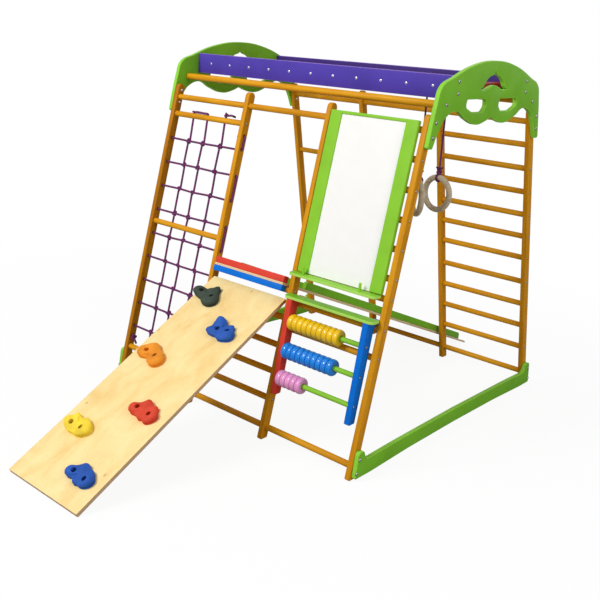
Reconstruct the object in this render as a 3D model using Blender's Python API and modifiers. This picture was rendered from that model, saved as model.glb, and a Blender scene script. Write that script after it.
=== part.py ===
"""Kids' indoor gym: an A-frame of wooden ladders with a monkey-bar top, a laced
net, a climbing board with holds, a slide, a whiteboard, an abacus and two rings.

Metres, +Z up, +X towards the right-hand end, -Y towards the climbing board.
The frame stands on the floor, z = 0, and the origin is under the middle of the
whole toy, board and slide included.
"""
import math

import bmesh
import bpy
from mathutils import Matrix, Vector

# Overall sizes of the frame
POST_PITCH = 0.437              # between neighbouring posts, along X
POST_WIDTH = 0.023              # post section along X
POST_DEPTH = 0.038              # post section square to its lean
POST_FOOT_Y = 0.6955            # post centre line at the floor, from the frame's middle
POST_TOP_Z = 1.322
POST_LEAN = math.radians(12.74)
POST_FOOT_ROUND = 0.006
POST_COUNT = 4                  # on each side

# Clearances
GAP = 0.0003                    # between seated neighbours
RUNNING_GAP = 0.0005            # between a piece that turns or slides and its axle

# Ladder rungs
RUNG_RADIUS = 0.0125
RUNG_SIDES = 10
SOCKET_DEPTH = 0.015            # how far a rung runs into a post

FRONT_TOP_Z = 1.266
FRONT_BOTTOM_Z = 0.0485
REAR_TOP_Z = 1.268
REAR_BOTTOM_Z = 0.060
NET_RUNG_Z = 1.1915
LEFT_MID_Z = 0.7075
LEFT_BOTTOM_Z = 0.128
SLIDE_RUNG_Z = 0.587
BOARD_RUNG_Z = 0.480
REAR_LEFT_Z = 0.975
FRONT_MIDDLE_RUNGS = (0.370, 0.2655, 0.159)
FRONT_RIGHT_RUNGS = (1.161, 1.052, 0.945, 0.840, 0.734, 0.660, 0.550, 0.446)
REAR_RIGHT_RUNGS = (1.167, 1.062, 0.956, 0.851, 0.748, 0.645, 0.527, 0.415, 0.304, 0.191)
ABACUS_TOP_RUNG_Z = FRONT_RIGHT_RUNGS[6]
ABACUS_LOW_RUNG_Z = FRONT_RIGHT_RUNGS[7]

# End panels and base rails, both from the same board
END_BOARD = 0.018
PANEL_OUTLINE = (               # half outline (distance from the middle, height, corner?)
    (0.000, 1.517, False), (0.164, 1.499, False), (0.306, 1.454, False), (0.384, 1.419, False),
    (0.404, 1.366, False), (0.4205, 1.300, False), (0.439, 1.2095, True), (0.4325, 1.202, True),
    (0.409, 1.202, True), (0.371, 1.273, False), (0.333, 1.314, False), (0.262, 1.331, False),
    (0.2006, 1.303, False), (0.112, 1.278, False), (0.045, 1.288, False), (0.000, 1.304, True),
)
EYE_OUTLINE = (                 # (distance from the middle, height, corner radius)
    (0.054, 1.3735, 0.012), (0.196, 1.3735, 0.010), (0.203, 1.345, 0.018), (0.150, 1.325, 0.040),
    (0.072, 1.325, 0.022), (0.050, 1.345, 0.014),
)
PETAL_OUTLINE = (               # half outline (distance from the middle, height, corner?)
    (0.000, 1.4825, True), (0.010, 1.468, False), (0.045, 1.455, False), (0.071, 1.437, False),
    (0.086, 1.419, False), (0.105, 1.410, True), (0.072, 1.4075, False), (0.036, 1.418, False),
    (0.000, 1.425, False),
)
PANEL_DRAWN_Y = 0.42204         # the posts' distance from the middle that goes with these outlines
RAIL_OUTLINE = (                # base rail (distance from the middle, height, corner radius)
    (0.000, 0.022, 0.0), (0.350, 0.0185, 0.30), (0.600, 0.0095, 0.10), (0.7035, 0.0095, 0.008),
    (0.690, 0.1125, 0.016), (0.6555, 0.1125, 0.017), (0.645, 0.074, 0.020), (0.560, 0.072, 0.08),
    (0.450, 0.078, 0.20), (0.000, 0.082, 0.0),
)
RAIL_DRAWN_Y = 0.6955           # the post feet's distance from the middle that goes with it

# Monkey-bar top
BEAM_INSET = 0.0941             # from the posts' line in to a beam's outer face
BEAM_THICK = 0.022
BEAM_BOTTOM_Z = 1.373
BEAM_TOP_Z = 1.460
MONKEY_COUNT = 11
MONKEY_MARGIN = 0.0842          # from the end posts' outer face to the first overhead rung
MONKEY_SOCKET = 0.012
RING_RUNG = 9                   # the monkey rung that carries both ring ropes
HAND_BAR_RADIUS = 0.014
HAND_BAR_INSET = 0.0464         # from the posts' line in to the bar's axis
HAND_BAR_Z = 1.3562

# Net
CORD_RADIUS = 0.0045
CORD_HOLE_PLAY = 0.001          # how much larger a hole's radius is than the cord's
CORD_SIDES_LEVEL = 1            # curve bevel resolution, six sides
NET_TOP_Z = 1.083
NET_PITCH = 0.1074
NET_LEVELS = 9
NET_START_Z = 1.138
NET_END_Z = 0.172
NET_TAIL = 0.024
NET_UPRIGHTS = (0.287, 0.489, 0.736)    # shares of the way from the first post to the second
NET_UPRIGHT_TAIL = 0.027
NET_HOLE_RADIUS = CORD_RADIUS + CORD_HOLE_PLAY
NET_KNOT_RADIUS = 0.0085
NET_KNOT_HALF = 0.0075          # half the length of a knot along its upright
NET_KNOT_FULL = 0.45            # share of that half over which the knot has its full girth
NET_BEND = CORD_RADIUS + GAP
TOP_TAIL = 0.052                # loose end lying on the net's top rung
TOP_TAIL_CREST = 0.030
TOP_TAIL_RISE = 0.0025
RUNG_BYPASS = 2.5               # how far above and below a rung the lacing goes round it, in cord radii

# Climbing board
BOARD_SIDE_GAPS = (0.010, 0.0025)       # to the left and the right post of its bay
BOARD_THICK = 0.015
BOARD_ANGLE = math.radians(28.78)
BOARD_DROP = 0.0684             # from the rung's axis up to the board's top, square to it
BOARD_PAST_RUNG = 0.0376        # from the rung's axis to the board's upper end
HOOK_THICK = 0.018
HOOK_X = 0.095
HOOK_FRONT = 0.055
HOOK_BACK = 0.028
HOOK_WALL = 0.014
HOOK_MOUTH = -0.024             # the hook's open end, below the rung's axis
HOOK_SHOULDER = -0.010
HOLD_HEIGHT = 0.026

# Slide
SLIDE_TAIL_PAST = 0.27465       # how far the tail reaches past the rear posts' feet
SLIDE_SIDE_GAP = 0.017          # to the posts of its bay
SLIDE_BED = 0.009
SLIDE_HEAD = 0.042              # head bars' front face, ahead of the rung's axis
HEAD_BAR_HIGH = 0.025
HEAD_BAR_TOP_HIGH = 0.027
SLIDE_RAIL_THICK = 0.018
SLIDE_RAIL_HIGH = 0.032
SLIDE_RAIL_START = 0.110
SLIDE_RAIL_SHORT = 0.085        # bed length left bare past the rails
SLIDE_RAIL_RAKE = 0.006         # how much sooner a rail ends at its top than at its foot
SLIDE_EDGE = 0.0015

# Whiteboard
FRAME_SIDE_GAPS = (0.011, 0.010)        # to the left and the right post of the right bay
FRAME_TOP_Z = 1.294
FRAME_THICK = 0.0175
SEAT_OFF = RUNG_RADIUS + GAP    # what rests against the ladder starts here
STILE_WIDTH = 0.052
TOP_RAIL = 0.012
SHEET_THICK = 0.004
SHEET_RECESS = 0.004
TRAY_OVER_POST = 0.008          # how far its ends run in front of the posts
TRAY_TOP_Z = 0.676
TRAY_THICK = 0.012
BEFORE_POSTS = 0.0006           # gap between the posts' front and the boards that stand before them
TRAY_FRONT_OFF = 0.060
TRAY_ROUND = 0.016
PEG_RADIUS = 0.006
PEG_HIGH = 0.032
PEG_INSETS = (0.054, 0.091)     # from the left and the right post
PEG_OFF = 0.045
PEG_SINK = 0.005

# Abacus
ABACUS_BAR = 0.024
ABACUS_SIDE_GAP = 0.0146        # from the posts to the outer faces of its side bars
ABACUS_TOP_Z = 0.578
ABACUS_BOTTOM_Z = 0.200
ABACUS_TOP_OFF = 0.061
ABACUS_BOTTOM_OFF = 0.041
ABACUS_TILT = math.radians(1.3)
ABACUS_HOOK = 0.012
ABACUS_HOOK_LIP = 0.010         # how far the hook reaches below the rung's axis
ABACUS_SEAT_RUN = 0.002         # straight part of the hook's seat before the rung
SHELF_THICK = 0.013
SHELF_OVER_POST = 0.005
SHELF_FRONT_OFF = 0.062
SHELF_ROUND = 0.018
ROD_RADIUS = 0.008
ROD_OFF = 0.036
ROD_SOCKET = 0.012
BEAD_RADIUS = 0.0325
BEAD_PITCH = 0.0244
BEAD_SIDES = 12
BEAD_NECK = 0.72                # waist between two beads, as a share of the bead radius
BEAD_ROWS = (("yellow", 0.488, 10), ("blue", 0.377, 10), ("pink", 0.270, 5))

# Rings
ROPE_RADIUS = 0.004
RING_RADIUS = 0.067            # to the middle of the tube
RING_TUBE = 0.012
RING_TOP_Z = 1.0426
RING_Y = (-0.122, 0.032)
RING_TURN = (math.radians(-42.0), math.radians(-12.0))
ROPE_KNOT = 0.014
ROPE_KNOT_HALF = 0.020          # half its length along the rope
ROPE_KNOT_REST = 0.001          # between the knot and the ring
ROPE_START = 0.0012             # how far under the loop round the rung the straight part starts
ROPE_STEP = 0.022

# Climbing holds: name, colour, place on the board (x, up from its lower end), sixteen
# radii around the outline and the two bolt recesses (x, up)
GREEN_GRIP = (0.060, 0.051, 0.051, 0.060, 0.048, 0.044, 0.044, 0.068, 0.076, 0.052, 0.040, 0.038, 0.045, 0.054,
              0.065, 0.069)
WINGED_GRIP = (0.065, 0.053, 0.053, 0.036, 0.040, 0.057, 0.072, 0.059, 0.054, 0.064, 0.052, 0.043, 0.042, 0.052,
               0.060, 0.070)
ORANGE_GRIP = (0.065, 0.054, 0.045, 0.043, 0.050, 0.057, 0.059, 0.062, 0.070, 0.064, 0.043, 0.041, 0.047, 0.050,
               0.063, 0.069)
RED_GRIP = (0.063, 0.052, 0.051, 0.040, 0.046, 0.052, 0.048, 0.051, 0.067, 0.064, 0.044, 0.039, 0.042, 0.042,
            0.057, 0.062)
YELLOW_GRIP = (0.067, 0.059, 0.051, 0.046, 0.039, 0.040, 0.056, 0.056, 0.068, 0.059, 0.049, 0.043, 0.040, 0.043,
               0.052, 0.061)
LOBED_GRIP = (0.063, 0.053, 0.047, 0.040, 0.045, 0.048, 0.046, 0.050, 0.065, 0.063, 0.040, 0.038, 0.042, 0.042,
              0.052, 0.061)
HOLDS = (
    ("hold_green", (0.030, 0.070, 0.050), (-0.123, 1.013), GREEN_GRIP, ((-0.035, 0.006), (0.029, -0.004))),
    ("hold_blue_upper", (0.020, 0.130, 0.640), (0.084, 0.875), WINGED_GRIP, ((-0.016, -0.004), (0.033, 0.002))),
    ("hold_orange", (0.900, 0.260, 0.020), (-0.0965, 0.6535), ORANGE_GRIP, ((-0.030, 0.004), (0.025, -0.003))),
    ("hold_red", (0.700, 0.060, 0.040), (0.1004, 0.4286), RED_GRIP, ((-0.033, -0.002), (0.034, -0.007))),
    ("hold_yellow", (0.900, 0.700, 0.020), (-0.097, 0.262), YELLOW_GRIP, ((-0.028, -0.005), (0.028, -0.005))),
    ("hold_blue_lower", (0.020, 0.130, 0.640), (0.101, 0.115), LOBED_GRIP, ((-0.031, -0.003), (0.034, -0.009))),
)
HOLD_SIDES = 24
HOLD_RECESS = 0.0075
HOLD_RECESS_DEPTH = 0.014

# Colours, linear
WOOD = (0.690, 0.296, 0.010)
PANEL_GREEN = (0.138, 0.361, 0.022)
BRIGHT_GREEN = (0.262, 0.578, 0.045)
PURPLE = (0.084, 0.051, 0.352)
RUNG_RED = (0.694, 0.068, 0.047)
BAR_BLUE = (0.003, 0.122, 0.578)
BEAD_YELLOW = (0.905, 0.604, 0.005)
BEAD_BLUE = (0.013, 0.212, 0.745)
BEAD_PINK = (0.694, 0.315, 0.578)
CORD_PLUM = (0.156, 0.019, 0.133)
BIRCH = (0.871, 0.665, 0.296)
RING_WOOD = (0.520, 0.400, 0.260)
WHITE = (0.900, 0.900, 0.900)

SIN_LEAN = math.sin(POST_LEAN)
COS_LEAN = math.cos(POST_LEAN)
POST_X = [POST_PITCH * (i - (POST_COUNT - 1) / 2) for i in range(POST_COUNT)]
POST_FACE = POST_WIDTH / 2
END_FACE = POST_X[-1] + POST_FACE
BAY_CLEAR = POST_PITCH - POST_WIDTH
BEFORE_POSTS_OFF = POST_DEPTH / 2 + BEFORE_POSTS
RIGHT_BAY_X = (POST_X[2] + POST_FACE, POST_X[3] - POST_FACE)
FRAME_X = (RIGHT_BAY_X[0] + FRAME_SIDE_GAPS[0], RIGHT_BAY_X[1] - FRAME_SIDE_GAPS[1])
TRAY_X = (RIGHT_BAY_X[0] - TRAY_OVER_POST, RIGHT_BAY_X[1] + TRAY_OVER_POST)
PEG_X = (RIGHT_BAY_X[0] + PEG_INSETS[0], RIGHT_BAY_X[1] - PEG_INSETS[1])
SHELF_X = (RIGHT_BAY_X[0] - SHELF_OVER_POST, RIGHT_BAY_X[1] + SHELF_OVER_POST)
ABACUS_X = (RIGHT_BAY_X[0] + ABACUS_SIDE_GAP, RIGHT_BAY_X[1] - ABACUS_SIDE_GAP)
BOARD_WIDTH = BAY_CLEAR - sum(BOARD_SIDE_GAPS)
BOARD_X = (BOARD_SIDE_GAPS[0] - BOARD_SIDE_GAPS[1]) / 2
SLIDE_WIDTH = BAY_CLEAR - 2 * SLIDE_SIDE_GAP
MONKEY_PITCH = 2 * (END_FACE - MONKEY_MARGIN) / (MONKEY_COUNT - 1)
FRONT, REAR = -1, 1
LEFT_BAY, MIDDLE_BAY, RIGHT_BAY = (0, 1), (1, 2), (2, 3)
AXIS_X = Vector((1, 0, 0))
AXIS_Y = Vector((0, 1, 0))
AXIS_Z = Vector((0, 0, 1))


def new_collection(name):
    collection = bpy.data.collections.new(name)
    bpy.context.scene.collection.children.link(collection)
    return collection


for leftover in list(bpy.data.objects):
    bpy.data.objects.remove(leftover, do_unlink=True)
PARTS = new_collection("kids_indoor_gym")
CUTTERS = new_collection("cutters")


def material(name, colour, roughness=0.5, metallic=0.0):
    made = bpy.data.materials.new(name)
    made.use_nodes = True
    shader = made.node_tree.nodes["Principled BSDF"]
    shader.inputs["Base Color"].default_value = (*colour, 1.0)
    shader.inputs["Roughness"].default_value = roughness
    shader.inputs["Metallic"].default_value = metallic
    made.diffuse_color = (*colour, 1.0)
    return made


def add_object(name, mesh, matrix=Matrix.Identity(4), colour=WOOD, roughness=0.5):
    """A part of the toy, with its own material."""
    made = bpy.data.objects.new(name, mesh)
    made.matrix_world = matrix
    PARTS.objects.link(made)
    mesh.materials.clear()
    mesh.materials.append(material(name, colour, roughness))
    mesh.shade_smooth()
    mesh.set_sharp_from_angle(angle=math.radians(35))
    return made


def add_tool(name, mesh, matrix=Matrix.Identity(4)):
    """A cutter, or a piece that is joined to a part."""
    made = bpy.data.objects.new(name, mesh)
    made.matrix_world = matrix
    made.hide_render = True
    made.display_type = "WIRE"
    CUTTERS.objects.link(made)
    return made


def boolean(target, tool, operation, own_overlaps=False):
    modifier = target.modifiers.new(operation.lower(), "BOOLEAN")
    modifier.operation = operation
    modifier.solver = "EXACT"
    modifier.use_self = own_overlaps
    modifier.object = tool


def bevel(target, width, segments=1):
    modifier = target.modifiers.new("edges", "BEVEL")
    modifier.width = width
    modifier.segments = segments
    modifier.limit_method = "ANGLE"
    modifier.angle_limit = math.radians(40)


def placed(origin, x_axis, y_axis):
    """Matrix that puts a local X and Y along two given directions."""
    z_axis = x_axis.cross(y_axis)
    turn = Matrix((x_axis, y_axis, z_axis)).transposed()
    return Matrix.Translation(origin) @ turn.to_4x4()


def mesh_from_bmesh(name, shape):
    mesh = bpy.data.meshes.new(name)
    shape.to_mesh(mesh)
    shape.free()
    return mesh


def box_mesh(name, size):
    shape = bmesh.new()
    bmesh.ops.create_cube(shape, size=1.0)
    bmesh.ops.scale(shape, vec=Vector(size), verts=shape.verts)
    return mesh_from_bmesh(name, shape)


def add_cylinder(shape, start, end, radius, sides):
    """Adds a closed cylinder between two points to a bmesh."""
    along = end - start
    turn = along.to_track_quat("Z", "Y").to_matrix().to_4x4()
    matrix = Matrix.Translation((start + end) / 2) @ turn
    bmesh.ops.create_cone(shape, cap_ends=True, segments=sides, radius1=radius, radius2=radius,
                          depth=along.length, matrix=matrix)


def cylinders_mesh(name, runs, radius, sides=RUNG_SIDES):
    """One mesh of separate closed cylinders, one for each (start, end)."""
    shape = bmesh.new()
    for start, end in runs:
        add_cylinder(shape, start, end, radius, sides)
    return mesh_from_bmesh(name, shape)


def rounded(corners, steps=4, closed=True):
    """Points of a path whose corners, (point, radius) pairs, become arcs."""
    points = []
    count = len(corners)
    for i, (corner, radius) in enumerate(corners):
        at_end = not closed and i in (0, count - 1)
        if radius <= 0 or at_end:
            points.append(corner.copy())
            continue
        before = corners[i - 1][0] - corner
        after = corners[(i + 1) % count][0] - corner
        half = before.angle(after) / 2
        reach = min(radius / math.tan(half), 0.49 * before.length, 0.49 * after.length)
        start = corner + before.normalized() * reach
        end = corner + after.normalized() * reach
        middle = (before.normalized() + after.normalized()).normalized()
        centre = corner + middle * (reach / math.cos(half))
        for k in range(steps + 1):
            blend = start.lerp(end, k / steps) - centre
            points.append(centre + blend.normalized() * (start - centre).length)
    return points


def mesh_from_curve(name, curve, weld=1e-6):
    """Turns curve data into a closed mesh and removes the curve."""
    holder = bpy.data.objects.new(name + "_curve", curve)
    CUTTERS.objects.link(holder)
    depsgraph = bpy.context.evaluated_depsgraph_get()
    mesh = bpy.data.meshes.new_from_object(holder.evaluated_get(depsgraph))
    mesh.name = name
    bpy.data.objects.remove(holder, do_unlink=True)
    bpy.data.curves.remove(curve)
    shape = bmesh.new()
    shape.from_mesh(mesh)
    bmesh.ops.remove_doubles(shape, verts=shape.verts, dist=weld)
    bmesh.ops.recalc_face_normals(shape, faces=shape.faces)
    shape.to_mesh(mesh)
    shape.free()
    return mesh


def flat_curve(name, thickness):
    curve = bpy.data.curves.new(name, "CURVE")
    curve.dimensions = "2D"
    curve.fill_mode = "BOTH"
    curve.extrude = thickness / 2
    return curve


def add_outline(curve, points):
    spline = curve.splines.new("POLY")
    spline.points.add(len(points) - 1)
    for target, point in zip(spline.points, points):
        target.co = (point[0], point[1], 0.0, 1.0)
    spline.use_cyclic_u = True


def add_smooth_outline(curve, points, resolution):
    """A closed outline through (x, y, corner?) points, smooth except at corners."""
    spline = curve.splines.new("BEZIER")
    spline.bezier_points.add(len(points) - 1)
    spline.resolution_u = resolution
    for target, (x, y, corner) in zip(spline.bezier_points, points):
        target.co = (x, y, 0.0)
        handle = "VECTOR" if corner else "AUTO"
        target.handle_left_type = handle
        target.handle_right_type = handle
    spline.use_cyclic_u = True


def plate_mesh(name, outlines, thickness):
    curve = flat_curve(name, thickness)
    for points in outlines:
        add_outline(curve, points)
    return mesh_from_curve(name, curve)


def mirrored_outline(half):
    """A half outline, from the middle out and back to it, made whole."""
    other = [(-x, y, corner) for x, y, corner in reversed(half[1:-1])]
    return list(half) + other


def widened(rows, factor):
    """Rows of an outline with their distances from the middle scaled."""
    return [(row[0] * factor, *row[1:]) for row in rows]


def corners_2d(rows, flip=1):
    return [(Vector((flip * x, y, 0)), radius) for x, y, radius in rows]


def tube_mesh(name, points, radius, resolution, swell=None):
    """A round cord along a list of points, with closed ends; swell scales its radius."""
    curve = bpy.data.curves.new(name, "CURVE")
    curve.dimensions = "3D"
    curve.bevel_depth = radius
    curve.bevel_resolution = resolution
    curve.use_fill_caps = True
    spline = curve.splines.new("POLY")
    spline.points.add(len(points) - 1)
    for i, (target, point) in enumerate(zip(spline.points, points)):
        target.co = (*point, 1.0)
        target.radius = swell[i] if swell else 1.0
    return mesh_from_curve(name, curve)


def merge_meshes(name, pieces):
    """One mesh holding several, each moved by its matrix."""
    shape = bmesh.new()
    for mesh, matrix in pieces:
        piece = bmesh.new()
        piece.from_mesh(mesh)
        piece.transform(matrix)
        moved = bpy.data.meshes.new(name + "_piece")
        piece.to_mesh(moved)
        piece.free()
        shape.from_mesh(moved)
        bpy.data.meshes.remove(moved)
    return mesh_from_bmesh(name, shape)


def ball_mesh(name, radius, segments=6, rings=4):
    shape = bmesh.new()
    bmesh.ops.create_uvsphere(shape, u_segments=segments, v_segments=rings, radius=radius)
    return mesh_from_bmesh(name, shape)


def torus_mesh(name, major, minor, major_segments, minor_segments):
    bpy.ops.mesh.primitive_torus_add(major_radius=major, minor_radius=minor,
                                     major_segments=major_segments, minor_segments=minor_segments)
    made = bpy.context.active_object
    mesh = made.data
    mesh.name = name
    bpy.data.objects.remove(made, do_unlink=True)
    return mesh


def side_y(side, z, off=0.0):
    """Y of a point that is `off` outside the posts' centre plane, at post height z."""
    return side * (POST_FOOT_Y - z * math.tan(POST_LEAN) + off * COS_LEAN)


def on_side(side, x, z, off=0.0):
    """Point on a ladder's plane at height z, moved square to it by `off`, outwards."""
    return Vector((x, side_y(side, z, off), z + off * SIN_LEAN))


def level_y(z, off):
    """Y of the point at true height z that stands `off` in front of the front ladder."""
    return side_y(FRONT, z) - off / COS_LEAN


def rung_run(side, z, first, last, first_fused=False, last_fused=False):
    """Ends of a rung from post `first` to post `last`, seated in or fused to them."""
    reach = POST_FACE - SOCKET_DEPTH + GAP
    start = POST_X[first] + (0.0 if first_fused else reach)
    end = POST_X[last] - (0.0 if last_fused else reach)
    return on_side(side, start, z), on_side(side, end, z)


def socket_run(side, z, post, towards):
    """Blind socket in a post, open towards +X (1) or -X (-1)."""
    x = POST_X[post]
    bottom = x + towards * (POST_FACE - SOCKET_DEPTH)
    mouth = x + towards * (POST_FACE + SOCKET_DEPTH)
    return on_side(side, bottom, z), on_side(side, mouth, z)


def through_run(side, z, post):
    x = POST_X[post]
    return on_side(side, x - POST_WIDTH, z), on_side(side, x + POST_WIDTH, z)


class Post:
    """Heights where one post holds a socket, a through hole, a fused rung or a cord."""

    def __init__(self, side, index):
        self.side = side
        self.index = index
        self.cuts = []
        self.rungs = []
        self.cord_holes = []

    def socket(self, z, towards):
        self.cuts.append(socket_run(self.side, z, self.index, towards))

    def through(self, z):
        self.cuts.append(through_run(self.side, z, self.index))

    def fuse(self, z, other):
        first, last = sorted((self.index, other))
        self.rungs.append(rung_run(self.side, z, first, last, first == self.index, last == self.index))

    def cord_hole(self, z):
        self.cord_holes.append(through_run(self.side, z, self.index))

    def build(self, name):
        half = POST_DEPTH / 2
        foot = Vector((self.side * POST_FOOT_Y, 0, 0))
        out = Vector((self.side * COS_LEAN, SIN_LEAN, 0))
        up = Vector((-self.side * SIN_LEAN, COS_LEAN, 0))
        spread = Vector((self.side * half / COS_LEAN, 0, 0))
        top = foot + up * (POST_TOP_Z / COS_LEAN)
        corners = [(foot + spread, POST_FOOT_ROUND), (top + out * half, half * 0.98),
                   (top - out * half, half * 0.98), (foot - spread, POST_FOOT_ROUND)]
        mesh = plate_mesh(name, [rounded(corners)], POST_WIDTH)
        post = add_object(name, mesh, placed(Vector((POST_X[self.index], 0, 0)), AXIS_Y, AXIS_Z))
        if self.rungs:
            boolean(post, add_tool(name + "_rungs", cylinders_mesh(name + "_rungs", self.rungs, RUNG_RADIUS)),
                    "UNION")
        if self.cuts:
            sockets = cylinders_mesh(name + "_sockets", self.cuts, RUNG_RADIUS + GAP)
            boolean(post, add_tool(name + "_sockets", sockets), "DIFFERENCE")
        if self.cord_holes:
            holes = cylinders_mesh(name + "_cord_holes", self.cord_holes, NET_HOLE_RADIUS, 8)
            boolean(post, add_tool(name + "_cord_holes", holes), "DIFFERENCE")
        return post


def single_rung(posts, name, side, z, first, last):
    """A rung in a node of its own: blind in its end posts, through those between."""
    start, end = rung_run(side, z, first, last)
    rung = add_object(name, cylinders_mesh(name, [(start, end)], RUNG_RADIUS))
    posts[side, first].socket(z, 1)
    posts[side, last].socket(z, -1)
    for between in range(first + 1, last):
        posts[side, between].through(z)
    return rung


def comb_rungs(posts, side, heights, first, last):
    """Rungs fused by turns to the left and the right post of their bay."""
    for i, z in enumerate(heights):
        owner, other = (first, last) if i % 2 == 0 else (last, first)
        posts[side, owner].fuse(z, other)
        posts[side, other].socket(z, 1 if other == first else -1)


def net_level(i):
    return NET_TOP_Z - i * NET_PITCH


def net_x(share):
    return POST_X[LEFT_BAY[0]] + share * POST_PITCH


def drill_for_uprights(rung, z):
    """Three holes up through a rung of the left bay, for the net's uprights."""
    reach = LADDER_UP * 2 * RUNG_RADIUS
    axes = [on_side(FRONT, net_x(share), z) for share in NET_UPRIGHTS]
    holes = cylinders_mesh(rung.name + "_holes", [(p - reach, p + reach) for p in axes], NET_HOLE_RADIUS, 8)
    boolean(rung, add_tool(rung.name + "_holes", holes), "DIFFERENCE")


def build_ladders():
    posts = {(side, i): Post(side, i) for side in (FRONT, REAR) for i in range(POST_COUNT)}
    singles = (
        ("front_top_rung", FRONT, FRONT_TOP_Z, 0, 3), ("front_bottom_rung", FRONT, FRONT_BOTTOM_Z, 1, 3),
        ("rear_top_rung", REAR, REAR_TOP_Z, 0, 3), ("rear_bottom_rung", REAR, REAR_BOTTOM_Z, 0, 3),
        ("net_rung", FRONT, NET_RUNG_Z, *LEFT_BAY), ("left_mid_rung", FRONT, LEFT_MID_Z, *LEFT_BAY),
        ("left_bottom_rung", FRONT, LEFT_BOTTOM_Z, *LEFT_BAY),
        ("slide_rung", FRONT, SLIDE_RUNG_Z, *MIDDLE_BAY), ("board_rung", FRONT, BOARD_RUNG_Z, *MIDDLE_BAY),
        ("rear_left_rung", REAR, REAR_LEFT_Z, *LEFT_BAY),
    )
    rungs = {name: single_rung(posts, name, side, z, first, last) for name, side, z, first, last in singles}
    drill_for_uprights(rungs["net_rung"], NET_RUNG_Z)
    drill_for_uprights(rungs["left_mid_rung"], LEFT_MID_Z)
    comb_rungs(posts, FRONT, FRONT_MIDDLE_RUNGS, *MIDDLE_BAY)
    comb_rungs(posts, FRONT, FRONT_RIGHT_RUNGS, *RIGHT_BAY)
    comb_rungs(posts, REAR, REAR_RIGHT_RUNGS, *RIGHT_BAY)
    for level in range(NET_LEVELS):
        for post in LEFT_BAY:
            posts[FRONT, post].cord_hole(net_level(level))
    posts[FRONT, LEFT_BAY[1]].cord_hole(NET_START_Z)
    posts[FRONT, LEFT_BAY[0]].cord_hole(NET_END_Z)
    for (side, i), post in posts.items():
        post.build(f"{'front' if side == FRONT else 'rear'}_post_{i + 1}")


def end_board(name, curve_maker, hand, colour):
    """A board that stands in the YZ plane against the outer face of the end posts."""
    x = hand * (END_FACE + GAP + END_BOARD / 2)
    curve = flat_curve(name, END_BOARD)
    curve_maker(curve)
    return add_object(name, mesh_from_curve(name, curve), placed(Vector((x, 0, 0)), AXIS_Y, AXIS_Z), colour)


def panel_outlines(curve):
    factor = side_y(REAR, PANEL_OUTLINE[6][1]) / PANEL_DRAWN_Y
    add_smooth_outline(curve, mirrored_outline(widened(PANEL_OUTLINE, factor)), 3)
    add_smooth_outline(curve, mirrored_outline(widened(PETAL_OUTLINE, factor)), 2)
    for flip in (1, -1):
        add_outline(curve, rounded(corners_2d(widened(EYE_OUTLINE, factor), flip), 3))


def rail_outline(curve):
    half = rounded(corners_2d(widened(RAIL_OUTLINE, POST_FOOT_Y / RAIL_DRAWN_Y)), 3)
    other = [Vector((-p[0], p[1], 0)) for p in reversed(half[1:-1])]
    add_outline(curve, half + other)


def build_ends():
    for word, hand in (("left", -1), ("right", 1)):
        end_board(f"end_panel_{word}", panel_outlines, hand, PANEL_GREEN)
        end_board(f"base_rail_{word}", rail_outline, hand, PANEL_GREEN)
        side = hand
        bar_y = side_y(side, HAND_BAR_Z) - side * HAND_BAR_INSET
        start = Vector((-END_FACE + GAP, bar_y, HAND_BAR_Z))
        end = Vector((END_FACE - GAP, bar_y, HAND_BAR_Z))
        bar = f"hand_bar_{'front' if side == FRONT else 'rear'}"
        add_object(bar, cylinders_mesh(bar, [(start, end)], HAND_BAR_RADIUS, 16))


def monkey_x(i):
    return MONKEY_PITCH * (i - (MONKEY_COUNT - 1) / 2)


def build_beams():
    """Two purple beams; the red rungs between them are fused to them by turns."""
    middle_z = (BEAM_BOTTOM_Z + BEAM_TOP_Z) / 2
    inner = side_y(REAR, middle_z) - BEAM_INSET - BEAM_THICK
    size = (2 * (END_FACE - GAP), BEAM_THICK, BEAM_TOP_Z - BEAM_BOTTOM_Z)
    for side in (FRONT, REAR):
        name = f"top_beam_{'front' if side == FRONT else 'rear'}"
        centre = Vector((0, side * (inner + BEAM_THICK / 2), middle_z))
        beam = add_object(name, box_mesh(name, size), Matrix.Translation(centre), PURPLE)
        own, sockets = [], []
        for i in range(MONKEY_COUNT):
            x = monkey_x(i)
            if (i % 2 == 0) == (side == FRONT):
                tip = -side * (inner + MONKEY_SOCKET - GAP)
                own.append((Vector((x, centre.y, middle_z)), Vector((x, tip, middle_z))))
            else:
                deep = side * (inner + MONKEY_SOCKET)
                sockets.append((Vector((x, deep, middle_z)), Vector((x, deep - side * 2 * MONKEY_SOCKET, middle_z))))
        boolean(beam, add_tool(name + "_rungs", cylinders_mesh(name + "_rungs", own, RUNG_RADIUS)), "UNION")
        cuts = cylinders_mesh(name + "_sockets", sockets, RUNG_RADIUS + GAP)
        boolean(beam, add_tool(name + "_sockets", cuts), "DIFFERENCE")


def wrap_mesh(name, axle_radius, clearance, cord, segments=10, sides=6):
    """A turn of cord round an axle, clear of it also where the turn's facets are flat."""
    major = (axle_radius + clearance + cord) / math.cos(math.pi / segments)
    return torus_mesh(name, major, cord, segments, sides)


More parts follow.
